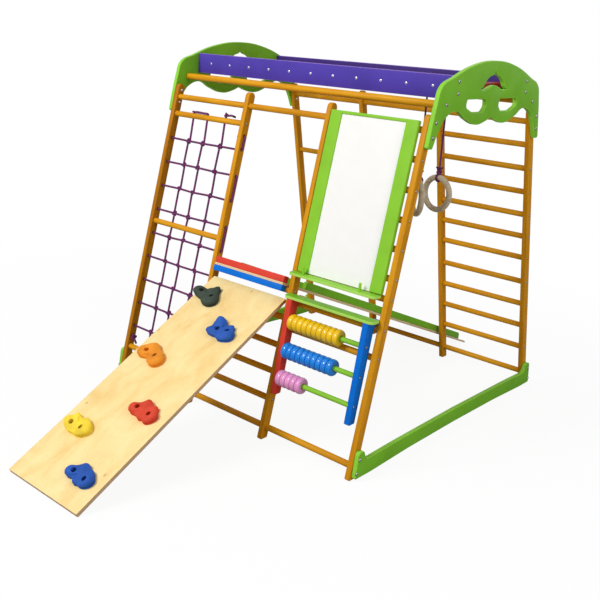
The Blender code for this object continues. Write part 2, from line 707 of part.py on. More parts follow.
def net_lacing():
    """The one long cord: level after level, in and out through both posts."""
    post_a, post_b = POST_X[LEFT_BAY[0]], POST_X[LEFT_BAY[1]]
    stand = POST_FACE + GAP + CORD_RADIUS
    outer = (post_a - stand, post_b + stand)
    rungs_beside = (SLIDE_RUNG_Z, BOARD_RUNG_Z) + FRONT_MIDDLE_RUNGS
    beside = RUNG_RADIUS + CORD_RADIUS + 2 * RUNNING_GAP + GAP * 3
    corners = [on_side(FRONT, post_b - stand - CORD_RADIUS, NET_START_Z), on_side(FRONT, outer[1], NET_START_Z)]
    for level in range(NET_LEVELS):
        z = net_level(level)
        first, last = (1, 0) if level % 2 == 0 else (0, 1)
        corners.append(on_side(FRONT, outer[first], z))
        corners.append(on_side(FRONT, outer[last], z))
        below = net_level(level + 1)
        for rung in rungs_beside:
            if last == 1 and below < rung < z and level + 1 < NET_LEVELS:
                corners.append(on_side(FRONT, outer[1], rung + CORD_RADIUS * RUNG_BYPASS, -beside))
                corners.append(on_side(FRONT, outer[1], rung - CORD_RADIUS * RUNG_BYPASS, -beside))
    inside = post_a + stand + CORD_RADIUS
    corners.append(on_side(FRONT, outer[0], NET_END_Z))
    corners.append(on_side(FRONT, inside, NET_END_Z))
    corners.append(on_side(FRONT, inside, NET_END_Z - NET_TAIL))
    path = rounded([(corner, NET_BEND) for corner in corners], 2, closed=False)
    return path, (corners[0], corners[-2])


def upright_run():
    """Heights down an upright, each with its radius there, as a share of the cord's."""
    knot = NET_KNOT_RADIUS / CORD_RADIUS
    run = []
    for i in range(NET_LEVELS):
        for along, girth in ((1.0, 1.0), (NET_KNOT_FULL, knot), (-NET_KNOT_FULL, knot), (-1.0, 1.0)):
            run.append((net_level(i) + along * NET_KNOT_HALF, girth))
    run.append((net_level(NET_LEVELS - 1) - NET_UPRIGHT_TAIL, 1.0))
    return run


def net_uprights():
    """Cords of the three uprights, and the knot on the top rung.

    One cord comes up through the rung, lies along it and goes down again; the other
    ends on top in a knot with a loose end.
    """
    run = upright_run()
    heights = [z for z, _ in run]
    girths = [girth for _, girth in run]
    first, second, third = ([on_side(FRONT, net_x(share), z) for z in heights] for share in NET_UPRIGHTS)
    lying = NET_RUNG_Z + (RUNG_RADIUS + GAP + CORD_RADIUS) * COS_LEAN
    over = [first[0]] + [on_side(FRONT, net_x(share), lying) for share in NET_UPRIGHTS[:2]] + [second[0]]
    bends = rounded([(corner, NET_BEND) for corner in over], 2, closed=False)[1:-1]
    loop = first[::-1] + bends + second
    loop_girths = girths[::-1] + [1.0] * len(bends) + girths
    knot_z = NET_RUNG_Z + (RUNG_RADIUS + GAP + NET_KNOT_RADIUS) * COS_LEAN
    knot = on_side(FRONT, net_x(NET_UPRIGHTS[2]), knot_z)
    crest = knot + AXIS_X * TOP_TAIL_CREST + LADDER_UP * TOP_TAIL_RISE
    tip = on_side(FRONT, knot.x + TOP_TAIL, lying)
    tail = rounded([(tip, 0.0), (crest, 0.02), (knot, NET_BEND), (third[0], 0.0)], 2, closed=False)[:-1]
    cords = [tube_mesh("net_upright", points, CORD_RADIUS, CORD_SIDES_LEVEL, swell)
             for points, swell in ((loop, loop_girths), (tail + third, [1.0] * len(tail) + girths))]
    return cords, knot


def build_net():
    path, end_knots = net_lacing()
    net = add_object("rope_net", tube_mesh("rope_net", path, CORD_RADIUS, CORD_SIDES_LEVEL), colour=CORD_PLUM,
                     roughness=0.8)
    cords, top_knot = net_uprights()
    knot = ball_mesh("net_knot", NET_KNOT_RADIUS)
    pieces = [(knot, Matrix.Translation(point)) for point in (*end_knots, top_knot)]
    pieces += [(cord, Matrix.Identity(4)) for cord in cords]
    tool = add_tool("net_uprights", merge_meshes("net_uprights", pieces))
    boolean(net, tool, "UNION", own_overlaps=True)


BOARD_UP = Vector((0, math.cos(BOARD_ANGLE), math.sin(BOARD_ANGLE)))
BOARD_OUT = Vector((0, -math.sin(BOARD_ANGLE), math.cos(BOARD_ANGLE)))
BOARD_AXLE = on_side(FRONT, 0.0, BOARD_RUNG_Z)
BOARD_HEAD = BOARD_AXLE + BOARD_OUT * BOARD_DROP + BOARD_UP * BOARD_PAST_RUNG


def board_length():
    """The board is cut so that its lower edge just meets the floor."""
    return (BOARD_HEAD.z - BOARD_THICK * BOARD_OUT.z) / BOARD_UP.z


def board_point(x, up, out=0.0):
    """Point by board coordinates: across, up from the lower end, out of its top face."""
    return BOARD_HEAD + AXIS_X * x + BOARD_UP * (up - board_length()) + BOARD_OUT * out


def hook_corners():
    """Hook outline about the rung's axis: along the board and square to it."""
    top = BOARD_DROP - BOARD_THICK - GAP
    ring = RUNG_RADIUS + RUNNING_GAP
    outer = ring + HOOK_WALL
    mouth = [Vector((ring * math.cos(a), ring * math.sin(a), 0))
             for a in (math.pi * k / 10 for k in range(11))]
    outline = [(Vector((-HOOK_FRONT, top, 0)), 0.004), (Vector((-outer, HOOK_SHOULDER, 0)), 0.010),
               (Vector((-outer, HOOK_MOUTH, 0)), 0.005), (Vector((-ring, HOOK_MOUTH, 0)), 0.003)]
    outline += [(p, 0.0) for p in reversed(mouth)]
    outline += [(Vector((ring, HOOK_MOUTH, 0)), 0.003), (Vector((HOOK_BACK, HOOK_MOUTH, 0)), 0.005),
                (Vector((HOOK_BACK, top, 0)), 0.004)]
    return rounded(outline, 3)


def smooth_radius(radii, turn):
    """Radius at a turn from 0 to 1, on a closed smooth curve through the given radii."""
    count = len(radii)
    place = turn * count
    i = int(place) % count
    t = place - int(place)
    a, b, c, d = (radii[(i + k) % count] for k in (-1, 0, 1, 2))
    return 0.5 * (2 * b + (c - a) * t + (2 * a - 5 * b + 4 * c - d) * t ** 2 + (3 * b - a - 3 * c + d) * t ** 3)


def hold_mesh(name, radii, height, sides=HOLD_SIDES):
    """A lofted grip: the same lobed outline at rising heights, drawn in to a crown."""
    layers = ((0.0, 0.94), (0.35, 1.0), (0.72, 0.90), (0.95, 0.62))
    shape = bmesh.new()
    rings = []
    for rise, spread in layers:
        ring = []
        for k in range(sides):
            turn = k / sides
            radius = smooth_radius(radii, turn) * spread
            angle = 2 * math.pi * turn
            ring.append(shape.verts.new((radius * math.cos(angle), radius * math.sin(angle), rise * height)))
        rings.append(ring)
    crown = shape.verts.new((0, 0, height))
    for lower, upper in zip(rings, rings[1:]):
        for k in range(sides):
            n = (k + 1) % sides
            shape.faces.new((lower[k], lower[n], upper[n], upper[k]))
    for k in range(sides):
        shape.faces.new((rings[-1][k], rings[-1][(k + 1) % sides], crown))
    shape.faces.new(list(reversed(rings[0])))
    return mesh_from_bmesh(name, shape)


def pivot(name, place):
    """Empty on a joint's axis, the parent of what moves with it."""
    made = bpy.data.objects.new(name, None)
    made.empty_display_size = 0.05
    made.location = place
    PARTS.objects.link(made)
    return made


def hang_on(parent, *children):
    for child in children:
        child.parent = parent
        child.matrix_parent_inverse = Matrix.Translation(parent.location).inverted()


def build_climbing_board():
    hinge = pivot("climbing_board_axis", BOARD_AXLE)
    length = board_length()
    middle = board_point(BOARD_X, length / 2, -BOARD_THICK / 2)
    board = add_object("climbing_board", box_mesh("climbing_board", (BOARD_WIDTH, length, BOARD_THICK)),
                       placed(middle, AXIS_X, BOARD_UP), BIRCH, 0.6)
    moving = [board]
    for word, hand in (("left", -1), ("right", 1)):
        name = f"board_hook_{word}"
        mesh = plate_mesh(name, [hook_corners()], HOOK_THICK)
        place = BOARD_AXLE + AXIS_X * (hand * HOOK_X)
        moving.append(add_object(name, mesh, placed(place, BOARD_UP, BOARD_OUT), BIRCH, 0.6))
    for name, colour, (x, up), radii, recesses in HOLDS:
        place = placed(board_point(x, up, GAP), AXIS_X, BOARD_UP)
        grip = add_object(name, hold_mesh(name, radii, HOLD_HEIGHT), place, colour, 0.45)
        runs = [(Vector((rx, ry, HOLD_HEIGHT - HOLD_RECESS_DEPTH)), Vector((rx, ry, HOLD_HEIGHT * 1.5)))
                for rx, ry in recesses]
        cutter = add_tool(name + "_recesses", cylinders_mesh(name + "_recesses", runs, HOLD_RECESS, 10), place)
        boolean(grip, cutter, "DIFFERENCE")
        moving += [grip, cutter]
    hang_on(hinge, *moving)


SLIDE_AXLE = on_side(FRONT, 0.0, SLIDE_RUNG_Z)
SLIDE_SEAT = RUNG_RADIUS + GAP


def slide_angle():
    """Slope at which the bed, lying on its rung, meets the floor where its tail is."""
    run = POST_FOOT_Y + SLIDE_TAIL_PAST - SLIDE_AXLE.y
    return math.atan2(SLIDE_AXLE.z, run) + math.asin(SLIDE_SEAT / math.hypot(run, SLIDE_AXLE.z))


SLIDE_DOWN = Vector((0, math.cos(slide_angle()), -math.sin(slide_angle())))
SLIDE_OUT = Vector((0, math.sin(slide_angle()), math.cos(slide_angle())))


def slide_tail():
    """Distance from the rung to the bed's tail, where its lower edge meets the floor."""
    return (SLIDE_AXLE.z + SLIDE_SEAT * SLIDE_OUT.z) / -SLIDE_DOWN.z


def slide_box(name, along, out, width, x, colour, edge=SLIDE_EDGE):
    """A box given by its runs along and square to the slide."""
    size = (width, along[1] - along[0], out[1] - out[0])
    middle = SLIDE_AXLE + AXIS_X * x + SLIDE_DOWN * sum(along) / 2 + SLIDE_OUT * sum(out) / 2
    made = add_object(name, box_mesh(name, size), placed(middle, AXIS_X, SLIDE_DOWN), colour)
    if edge:
        bevel(made, edge)
    return made


def build_slide():
    hinge = pivot("slide_axis", SLIDE_AXLE)
    tail = slide_tail()
    seat = SLIDE_SEAT
    bed_top = seat + SLIDE_BED
    back_of_bar = -(RUNG_RADIUS + GAP)
    moving = [
        slide_box("slide_bed", (-SLIDE_HEAD + SLIDE_EDGE, tail), (seat, bed_top), SLIDE_WIDTH, 0, BIRCH, 0),
        slide_box("slide_head_bar_blue", (-SLIDE_HEAD, back_of_bar), (seat - GAP - HEAD_BAR_HIGH, seat - GAP),
                  SLIDE_WIDTH, 0, BAR_BLUE),
        slide_box("slide_head_bar_red", (-SLIDE_HEAD, back_of_bar),
                  (bed_top + GAP, bed_top + GAP + HEAD_BAR_TOP_HIGH), SLIDE_WIDTH, 0, RUNG_RED),
    ]
    low = bed_top + GAP
    high = low + SLIDE_RAIL_HIGH
    end = tail - SLIDE_RAIL_SHORT
    outline = rounded([(Vector((SLIDE_RAIL_START, low, 0)), 0.0), (Vector((end, low, 0)), 0.0),
                       (Vector((end - SLIDE_RAIL_RAKE, high, 0)), 0.016), (Vector((SLIDE_RAIL_START, high, 0)), 0.014)])
    for word, hand in (("left", -1), ("right", 1)):
        name = f"slide_rail_{word}"
        x = hand * (SLIDE_WIDTH - SLIDE_RAIL_THICK) / 2
        place = placed(SLIDE_AXLE + AXIS_X * x, SLIDE_DOWN, SLIDE_OUT)
        moving.append(add_object(name, plate_mesh(name, [outline], SLIDE_RAIL_THICK), place, PANEL_GREEN))
    hang_on(hinge, *moving)


LADDER_UP = Vector((0, SIN_LEAN, COS_LEAN))


def ladder_plate(name, outlines, thickness, off, colour, roughness=0.5):
    """A plate parallel to the front ladder; outlines are (x, length along the posts)."""
    foot = on_side(FRONT, 0.0, 0.0, off + thickness / 2)
    mesh = plate_mesh(name, outlines, thickness)
    return add_object(name, mesh, placed(foot, AXIS_X, LADDER_UP), colour, roughness)


def rectangle(x0, x1, y0, y1, radius=0.0):
    corners = [(Vector((x0, y0, 0)), radius), (Vector((x1, y0, 0)), radius),
               (Vector((x1, y1, 0)), radius), (Vector((x0, y1, 0)), radius)]
    return rounded(corners, 3)


def level_cutter(name, z):
    """A wide block under height z, for pieces that stand on a level board."""
    size = (2.0, 2.0, z)
    return add_tool(name, box_mesh(name, size), Matrix.Translation((0, side_y(FRONT, z), z / 2)))


def level_board(name, x, backs, top_z, thickness, radius, colour):
    """A level board in front of the ladder with rounded front corners."""
    back_off, front_off = backs
    back = level_y(top_z - thickness, back_off)
    front = level_y(top_z - thickness, front_off)
    corners = [(Vector((x[0], back, 0)), 0.004), (Vector((x[0], front, 0)), radius),
               (Vector((x[1], front, 0)), radius), (Vector((x[1], back, 0)), 0.004)]
    mesh = plate_mesh(name, [rounded(corners)], thickness)
    return add_object(name, mesh, Matrix.Translation((0, 0, top_z - thickness / 2)), colour)


def build_whiteboard():
    top = FRAME_TOP_Z / COS_LEAN
    low = (TRAY_TOP_Z - POST_DEPTH) / COS_LEAN
    inner = rectangle(FRAME_X[0] + STILE_WIDTH, FRAME_X[1] - STILE_WIDTH, low - 1, top - TOP_RAIL)
    legs = [Vector((FRAME_X[0], low, 0)), Vector((inner[0].x, low, 0)), inner[3], inner[2],
            Vector((inner[1].x, low, 0)), Vector((FRAME_X[1], low, 0)), Vector((FRAME_X[1], top, 0)),
            Vector((FRAME_X[0], top, 0))]
    frame = ladder_plate("whiteboard_frame", [legs], FRAME_THICK, SEAT_OFF, BRIGHT_GREEN)
    sheet = rectangle(inner[0].x + GAP, inner[1].x - GAP, low, top - TOP_RAIL - GAP)
    sheet_off = SEAT_OFF + FRAME_THICK - SHEET_RECESS - SHEET_THICK
    panel = ladder_plate("whiteboard_sheet", [sheet], SHEET_THICK, sheet_off, WHITE, 0.25)
    foot = level_cutter("below_whiteboard", TRAY_TOP_Z + GAP)
    boolean(frame, foot, "DIFFERENCE")
    boolean(panel, foot, "DIFFERENCE")
    tray = level_board("pen_tray", TRAY_X, (BEFORE_POSTS_OFF, TRAY_FRONT_OFF),
                       TRAY_TOP_Z, TRAY_THICK, TRAY_ROUND, BRIGHT_GREEN)
    holes = []
    for word, x in zip(("left", "right"), PEG_X):
        base = Vector((x, level_y(TRAY_TOP_Z, PEG_OFF), TRAY_TOP_Z - PEG_SINK))
        top_point = base + AXIS_Z * (PEG_HIGH + PEG_SINK)
        name = f"pen_peg_{word}"
        add_object(name, cylinders_mesh(name, [(base + AXIS_Z * GAP, top_point)], PEG_RADIUS), colour=BRIGHT_GREEN)
        holes.append((base, top_point))
    sockets = cylinders_mesh("peg_sockets", holes, PEG_RADIUS + GAP)
    boolean(tray, add_tool("peg_sockets", sockets), "DIFFERENCE")


def abacus_bar_outline():
    """Side bar in the YZ plane, with the hook that goes over the ladder's rung."""
    def back_off(z):
        return SEAT_OFF + GAP + (z - ABACUS_LOW_RUNG_Z) / COS_LEAN * math.tan(ABACUS_TILT)

    def at(z, off):
        return Vector((level_y(z, off), z, 0))

    rung = Vector((side_y(FRONT, ABACUS_TOP_RUNG_Z), ABACUS_TOP_RUNG_Z, 0))
    ring = RUNG_RADIUS + GAP
    over = [rung + Vector((math.cos(a), math.sin(a), 0)) * ring
            for a in (math.pi * k / 10 for k in range(11))]
    hook_back = rung.x + ring + ABACUS_HOOK
    hook_low = ABACUS_TOP_RUNG_Z - ABACUS_HOOK_LIP
    back_at_rung = at(hook_low, back_off(hook_low))
    corners = [
        (at(ABACUS_TOP_Z, ABACUS_TOP_OFF), 0.002), (at(ABACUS_BOTTOM_Z, ABACUS_BOTTOM_OFF), 0.004),
        (at(ABACUS_BOTTOM_Z, back_off(ABACUS_BOTTOM_Z)), 0.004), (back_at_rung, 0.0),
        (Vector((over[-1].x, rung.y - ABACUS_SEAT_RUN, 0)), 0.0),
    ]
    corners += [(p, 0.0) for p in reversed(over)]
    corners += [(Vector((over[0].x, hook_low, 0)), 0.002), (Vector((hook_back, hook_low, 0)), 0.003),
                (Vector((hook_back, ABACUS_TOP_Z, 0)), 0.006)]
    return rounded(corners, 3)


def bead_profile(count, bore):
    """Outer side of a row of beads, from its right end down to its left one."""
    length = count * BEAD_PITCH
    shape = ((0.0, BEAD_NECK), (0.26, 1.0), (0.74, 1.0))
    points = []
    for bead in range(count):
        for along, spread in shape:
            points.append((BEAD_RADIUS * spread, length - (bead + along) * BEAD_PITCH))
    points.append((BEAD_RADIUS * BEAD_NECK, 0.0))
    points.append((bore, 0.0))
    points.append((bore, length))
    return points


def turned_mesh(name, profile, sides):
    """A profile turned about Z; it runs down its outer side and back up the bore."""
    shape = bmesh.new()
    verts = [shape.verts.new((radius, 0.0, height)) for radius, height in profile]
    for first, second in zip(verts, verts[1:] + verts[:1]):
        shape.edges.new((first, second))
    holder = bpy.data.objects.new(name + "_profile", mesh_from_bmesh(name + "_profile", shape))
    CUTTERS.objects.link(holder)
    screw = holder.modifiers.new("turn", "SCREW")
    screw.steps = sides
    screw.render_steps = sides
    screw.use_merge_vertices = True
    screw.merge_threshold = 0.0001
    depsgraph = bpy.context.evaluated_depsgraph_get()
    mesh = bpy.data.meshes.new_from_object(holder.evaluated_get(depsgraph))
    mesh.name = name
    bpy.data.objects.remove(holder, do_unlink=True)
    return mesh


def build_abacus():
    bars = {}
    outline = abacus_bar_outline()
    for word, x, hand, colour in (("red", ABACUS_X[0], 1, RUNG_RED), ("blue", ABACUS_X[1], -1, BAR_BLUE)):
        name = f"abacus_bar_{word}"
        middle = x + hand * ABACUS_BAR / 2
        place = placed(Vector((middle, 0, 0)), AXIS_Y, AXIS_Z)
        bars[word] = add_object(name, plate_mesh(name, [outline], ABACUS_BAR), place, colour)
    left_face = ABACUS_X[0] + ABACUS_BAR
    right_face = ABACUS_X[1] - ABACUS_BAR
    level_board("abacus_shelf", SHELF_X, (BEFORE_POSTS_OFF, SHELF_FRONT_OFF), ABACUS_TOP_Z + GAP + SHELF_THICK,
                SHELF_THICK, SHELF_ROUND, BRIGHT_GREEN)
    sockets = []
    for word, z, count in BEAD_ROWS:
        centre = Vector((0.0, level_y(z, ROD_OFF), z))
        start = centre + AXIS_X * (left_face - ROD_SOCKET + GAP)
        end = centre + AXIS_X * (right_face + ROD_SOCKET - GAP)
        rod = f"abacus_rod_{word}"
        add_object(rod, cylinders_mesh(rod, [(start, end)], ROD_RADIUS), colour=BRIGHT_GREEN)
        sockets.append((centre + AXIS_X * (left_face - ROD_SOCKET), centre + AXIS_X * (left_face + ROD_SOCKET)))
        sockets.append((centre + AXIS_X * (right_face + ROD_SOCKET), centre + AXIS_X * (right_face - ROD_SOCKET)))
        name = f"beads_{word}"
        bore = ROD_RADIUS + RUNNING_GAP
        colour = {"yellow": BEAD_YELLOW, "blue": BEAD_BLUE, "pink": BEAD_PINK}[word]
        place = placed(centre + AXIS_X * (left_face + GAP), AXIS_Y, AXIS_Z)
        add_object(name, turned_mesh(name, bead_profile(count, bore), BEAD_SIDES), place, colour, 0.2)
    cuts = add_tool("rod_sockets", cylinders_mesh("rod_sockets", sockets, ROD_RADIUS + GAP))
    for bar in bars.values():
        boolean(bar, cuts, "DIFFERENCE")


def build_rings():
    rung = Vector((monkey_x(RING_RUNG), 0.0, (BEAM_BOTTOM_Z + BEAM_TOP_Z) / 2))
    top_loop = wrap_mesh("rope_top_loop", RUNG_RADIUS, GAP, ROPE_RADIUS, 12)
    low_loop = wrap_mesh("rope_low_loop", RING_TUBE, RUNNING_GAP, ROPE_RADIUS)
    knot = ball_mesh("rope_knot", ROPE_KNOT, 8, 6)
    knot.transform(Matrix.Diagonal((1.0, 1.0, ROPE_KNOT_HALF / ROPE_KNOT, 1.0)))
    for i, (y, turn) in enumerate(zip(RING_Y, RING_TURN)):
        hook = rung + AXIS_Y * y
        ring_top = Vector((hook.x, y, RING_TOP_Z - RING_TUBE))
        tangent = Vector((math.cos(turn), math.sin(turn), 0))
        across = Vector((-math.sin(turn), math.cos(turn), 0))
        rope_end = ring_top.z + RING_TUBE + ROPE_RADIUS + RUNNING_GAP
        rope_start = hook.z - RUNG_RADIUS - ROPE_RADIUS - ROPE_START
        steps = round((rope_start - rope_end) / ROPE_STEP)
        path = [Vector((hook.x, y, rope_start + (rope_end - rope_start) * k / steps)) for k in range(steps + 1)]
        name = f"ring_rope_{i + 1}"
        rope = add_object(name, tube_mesh(name, path, ROPE_RADIUS, 2), colour=CORD_PLUM, roughness=0.8)
        low_knot = Vector((hook.x, y, ring_top.z + RING_TUBE + RUNNING_GAP + ROPE_KNOT_REST + ROPE_KNOT_HALF))
        ends = [(top_loop, placed(hook, AXIS_Z, AXIS_X)), (low_loop, placed(ring_top, across, AXIS_Z)),
                (knot, Matrix.Translation(low_knot))]
        tool = add_tool(name + "_ends", merge_meshes(name + "_ends", ends))
        boolean(rope, tool, "UNION", own_overlaps=True)
        ring_mesh = torus_mesh(f"ring_{i + 1}", RING_RADIUS, RING_TUBE, 28, 8)
        centre = ring_top - AXIS_Z * RING_RADIUS
        ring = add_object(f"ring_{i + 1}", ring_mesh, placed(centre, tangent, AXIS_Z), RING_WOOD)
        swing = pivot(f"ring_rope_{i + 1}_axis", hook)
        tilt = pivot(f"ring_{i + 1}_axis", ring_top)
        hang_on(swing, rope, tool)
        hang_on(tilt, ring)


def reach_front():
    """How far the climbing board's lower end stands before the frame's middle."""
    return -board_point(0, 0).y


def reach_rear():
    """How far the slide's tail stands behind the frame's middle."""
    return (SLIDE_AXLE + SLIDE_DOWN * slide_tail() + SLIDE_OUT * (SLIDE_SEAT + SLIDE_BED)).y


def centre_on_floor():
    """Hangs everything on one empty, so that the origin is under the whole toy's middle."""
    origin = bpy.data.objects.new("gym_origin", None)
    PARTS.objects.link(origin)
    origin.location = (0, (reach_front() - reach_rear()) / 2, 0)
    for made in list(PARTS.objects) + list(CUTTERS.objects):
        if made.parent is None and made is not origin:
            made.parent = origin


build_ladders()
build_ends()
build_beams()
build_net()
build_climbing_board()
build_slide()
build_whiteboard()
build_abacus()
build_rings()
centre_on_floor()
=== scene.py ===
"""Looks of the kids' indoor gym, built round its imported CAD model.

Metres, +Z up, +X towards the right-hand end, -Y towards the climbing board. Pieces are
placed in the A-frame's own coordinates and moved by FRAME_Y, as the CAD model is.
"""
import math
import random
from collections import defaultdict

import bmesh
import bpy
from mathutils import Matrix, Vector


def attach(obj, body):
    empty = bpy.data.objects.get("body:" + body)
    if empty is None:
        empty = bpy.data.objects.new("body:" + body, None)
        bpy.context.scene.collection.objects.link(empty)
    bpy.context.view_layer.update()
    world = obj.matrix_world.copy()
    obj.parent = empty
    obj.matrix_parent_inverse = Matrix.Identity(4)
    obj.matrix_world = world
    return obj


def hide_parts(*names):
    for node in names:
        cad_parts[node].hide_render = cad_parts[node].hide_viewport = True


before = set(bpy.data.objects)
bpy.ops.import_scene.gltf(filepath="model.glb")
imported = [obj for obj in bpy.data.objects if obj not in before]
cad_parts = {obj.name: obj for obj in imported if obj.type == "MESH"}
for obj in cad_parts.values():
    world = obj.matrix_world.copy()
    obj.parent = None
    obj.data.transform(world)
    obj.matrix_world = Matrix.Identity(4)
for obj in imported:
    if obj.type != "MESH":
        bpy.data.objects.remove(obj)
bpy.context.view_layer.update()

# The A-frame's middle, measured from the middle of the whole toy
FRAME_Y = 0.302761
SHIFT = Matrix.Translation((0, FRAME_Y, 0))

# Camera, fitted to the photograph
CAMERA_PLACE = (2.2701, -3.0685, 1.5730)
CAMERA_AZIMUTH = math.radians(41.430)
CAMERA_ELEVATION = math.radians(14.209)
CAMERA_ROLL = math.radians(3.430)
CAMERA_LENS, CAMERA_SHIFT = 51.376, (0.0582, -0.0853)

AXIS_X, AXIS_Y, AXIS_Z = Vector((1, 0, 0)), Vector((0, 1, 0)), Vector((0, 0, 1))
UNIT = Matrix.Identity(4)

# Frame sizes, as in the CAD model
POST_PITCH, POST_WIDTH, POST_DEPTH = 0.437, 0.023, 0.038
POST_FOOT_Y, POST_TOP_Z = 0.6955, 1.322
POST_LEAN = math.radians(12.74)
SIN_LEAN, COS_LEAN = math.sin(POST_LEAN), math.cos(POST_LEAN)
POST_X = [POST_PITCH * (i - 1.5) for i in range(4)]
POST_FACE = POST_WIDTH / 2
END_FACE = POST_X[3] + POST_FACE
GAP, RUNNING_GAP = 0.0003, 0.0005
RUNG = 0.0125                   # a rung's radius
RUNG_SEAT = 0.004               # how far a drawn rung runs into its post
SEAT = RUNG + GAP               # from a ladder's plane to what lies on its rungs
FRONT, REAR = -1, 1
SIDES = ((FRONT, "front"), (REAR, "rear"))
HANDS = ((-1, "left"), (1, "right"))
LADDER_UP = Vector((0, SIN_LEAN, COS_LEAN))
LADDER_OUT = Vector((0, -COS_LEAN, SIN_LEAN))

# Rungs: side, heights, first post, last post
NET_RUNG_Z, LEFT_MID_Z, SLIDE_RUNG_Z, BOARD_RUNG_Z = 1.1915, 0.7075, 0.587, 0.480
MIDDLE_RUNGS_Z = (0.370, 0.2655, 0.159)
RUNG_ROWS = {
    "front_top": (FRONT, (1.266,), 0, 3),
    "front_bottom": (FRONT, (0.0485,), 1, 3),
    "rear_top": (REAR, (1.268,), 0, 3),
    "rear_bottom": (REAR, (0.060,), 0, 3),
    "net": (FRONT, (NET_RUNG_Z,), 0, 1),
    "left_mid": (FRONT, (LEFT_MID_Z,), 0, 1),
    "left_bottom": (FRONT, (0.128,), 0, 1),
    "slide": (FRONT, (SLIDE_RUNG_Z,), 1, 2),
    "board": (FRONT, (BOARD_RUNG_Z,), 1, 2),
    "rear_left": (REAR, (0.975,), 0, 1),
    "middle": (FRONT, MIDDLE_RUNGS_Z, 1, 2),
    "right": (FRONT, (1.161, 1.052, 0.945, 0.840, 0.734, 0.660, 0.550, 0.446), 2, 3),
    "rear_right": (REAR, (1.167, 1.062, 0.956, 0.851, 0.748, 0.645, 0.527, 0.415, 0.304, 0.191), 2, 3),
}
RAIL_COVER_Z = 0.11             # below this height the base rails hide a rung's screw

# Net
NET_LEVELS, NET_TOP_Z, NET_PITCH = 9, 1.083, 0.1074
NET_START_Z, NET_END_Z, NET_TAIL = 1.138, 0.172, 0.024
NET_CORD, NET_HOLE = 0.0048, 0.0055
NET_HOLE_WORN, NET_HOLE_DEEP = 0.0040, 0.007
NET_UPRIGHTS = [POST_X[0] + share * POST_PITCH for share in (0.287, 0.489, 0.736)]


def net_level(i):
    return NET_TOP_Z - i * NET_PITCH


def side_y(side, z, off=0.0):
    return side * (POST_FOOT_Y - z * math.tan(POST_LEAN) + off * COS_LEAN)


def on_side(side, x, z, off=0.0):
    """Point on a ladder's plane at height z, moved square to it by `off`, outwards."""
    return Vector((x, side_y(side, z, off), z + off * SIN_LEAN))


def level_y(z, off):
    return side_y(FRONT, z) - off / COS_LEAN


def placed(origin, x_axis, y_axis):
    turn = Matrix((x_axis, y_axis, x_axis.cross(y_axis))).transposed()
    return Matrix.Translation(origin) @ turn.to_4x4()


def end_on(x):
    """Matrix for an outline drawn in Y and Z at x."""
    return placed(AXIS_X * x, AXIS_Y, AXIS_Z)


def along(start, end):
    """Matrix whose local Z runs from start to end."""
    turn = (end - start).to_track_quat("Z", "Y").to_matrix().to_4x4()
    return Matrix.Translation(start) @ turn


def angles(count):
    return [2 * math.pi * k / count for k in range(count)]


def around(centre, first, second, angle, radius):
    return centre + (first * math.cos(angle) + second * math.sin(angle)) * radius


def new_object(name, data):
    made = bpy.data.objects.new(name, data)
    bpy.context.scene.collection.objects.link(made)
    return made


def add_camera():
    ca, sa = math.cos(CAMERA_AZIMUTH), math.sin(CAMERA_AZIMUTH)
    ce, se = math.cos(CAMERA_ELEVATION), math.sin(CAMERA_ELEVATION)
    cr, sr = math.cos(CAMERA_ROLL), math.sin(CAMERA_ROLL)
    level = Vector((ca, sa, 0))
    up = level.cross(Vector((-sa * ce, ca * ce, -se)))
    data = bpy.data.cameras.new("camera")
    data.lens = CAMERA_LENS
    data.shift_x, data.shift_y = CAMERA_SHIFT
    camera = new_object("camera", data)
    camera.matrix_world = SHIFT @ placed(CAMERA_PLACE, level * cr + up * sr, up * cr - level * sr)
    bpy.context.scene.camera = camera


# Materials

def linear(code):
    """Linear colour of an sRGB hex code."""
    values = [int(code[i:i + 2], 16) / 255 for i in (0, 2, 4)]
    return tuple(v / 12.92 if v <= 0.04045 else ((v + 0.055) / 1.055) ** 2.4 for v in values)


def scaled(colour, share):
    return tuple(min(1.0, c * share) for c in colour)


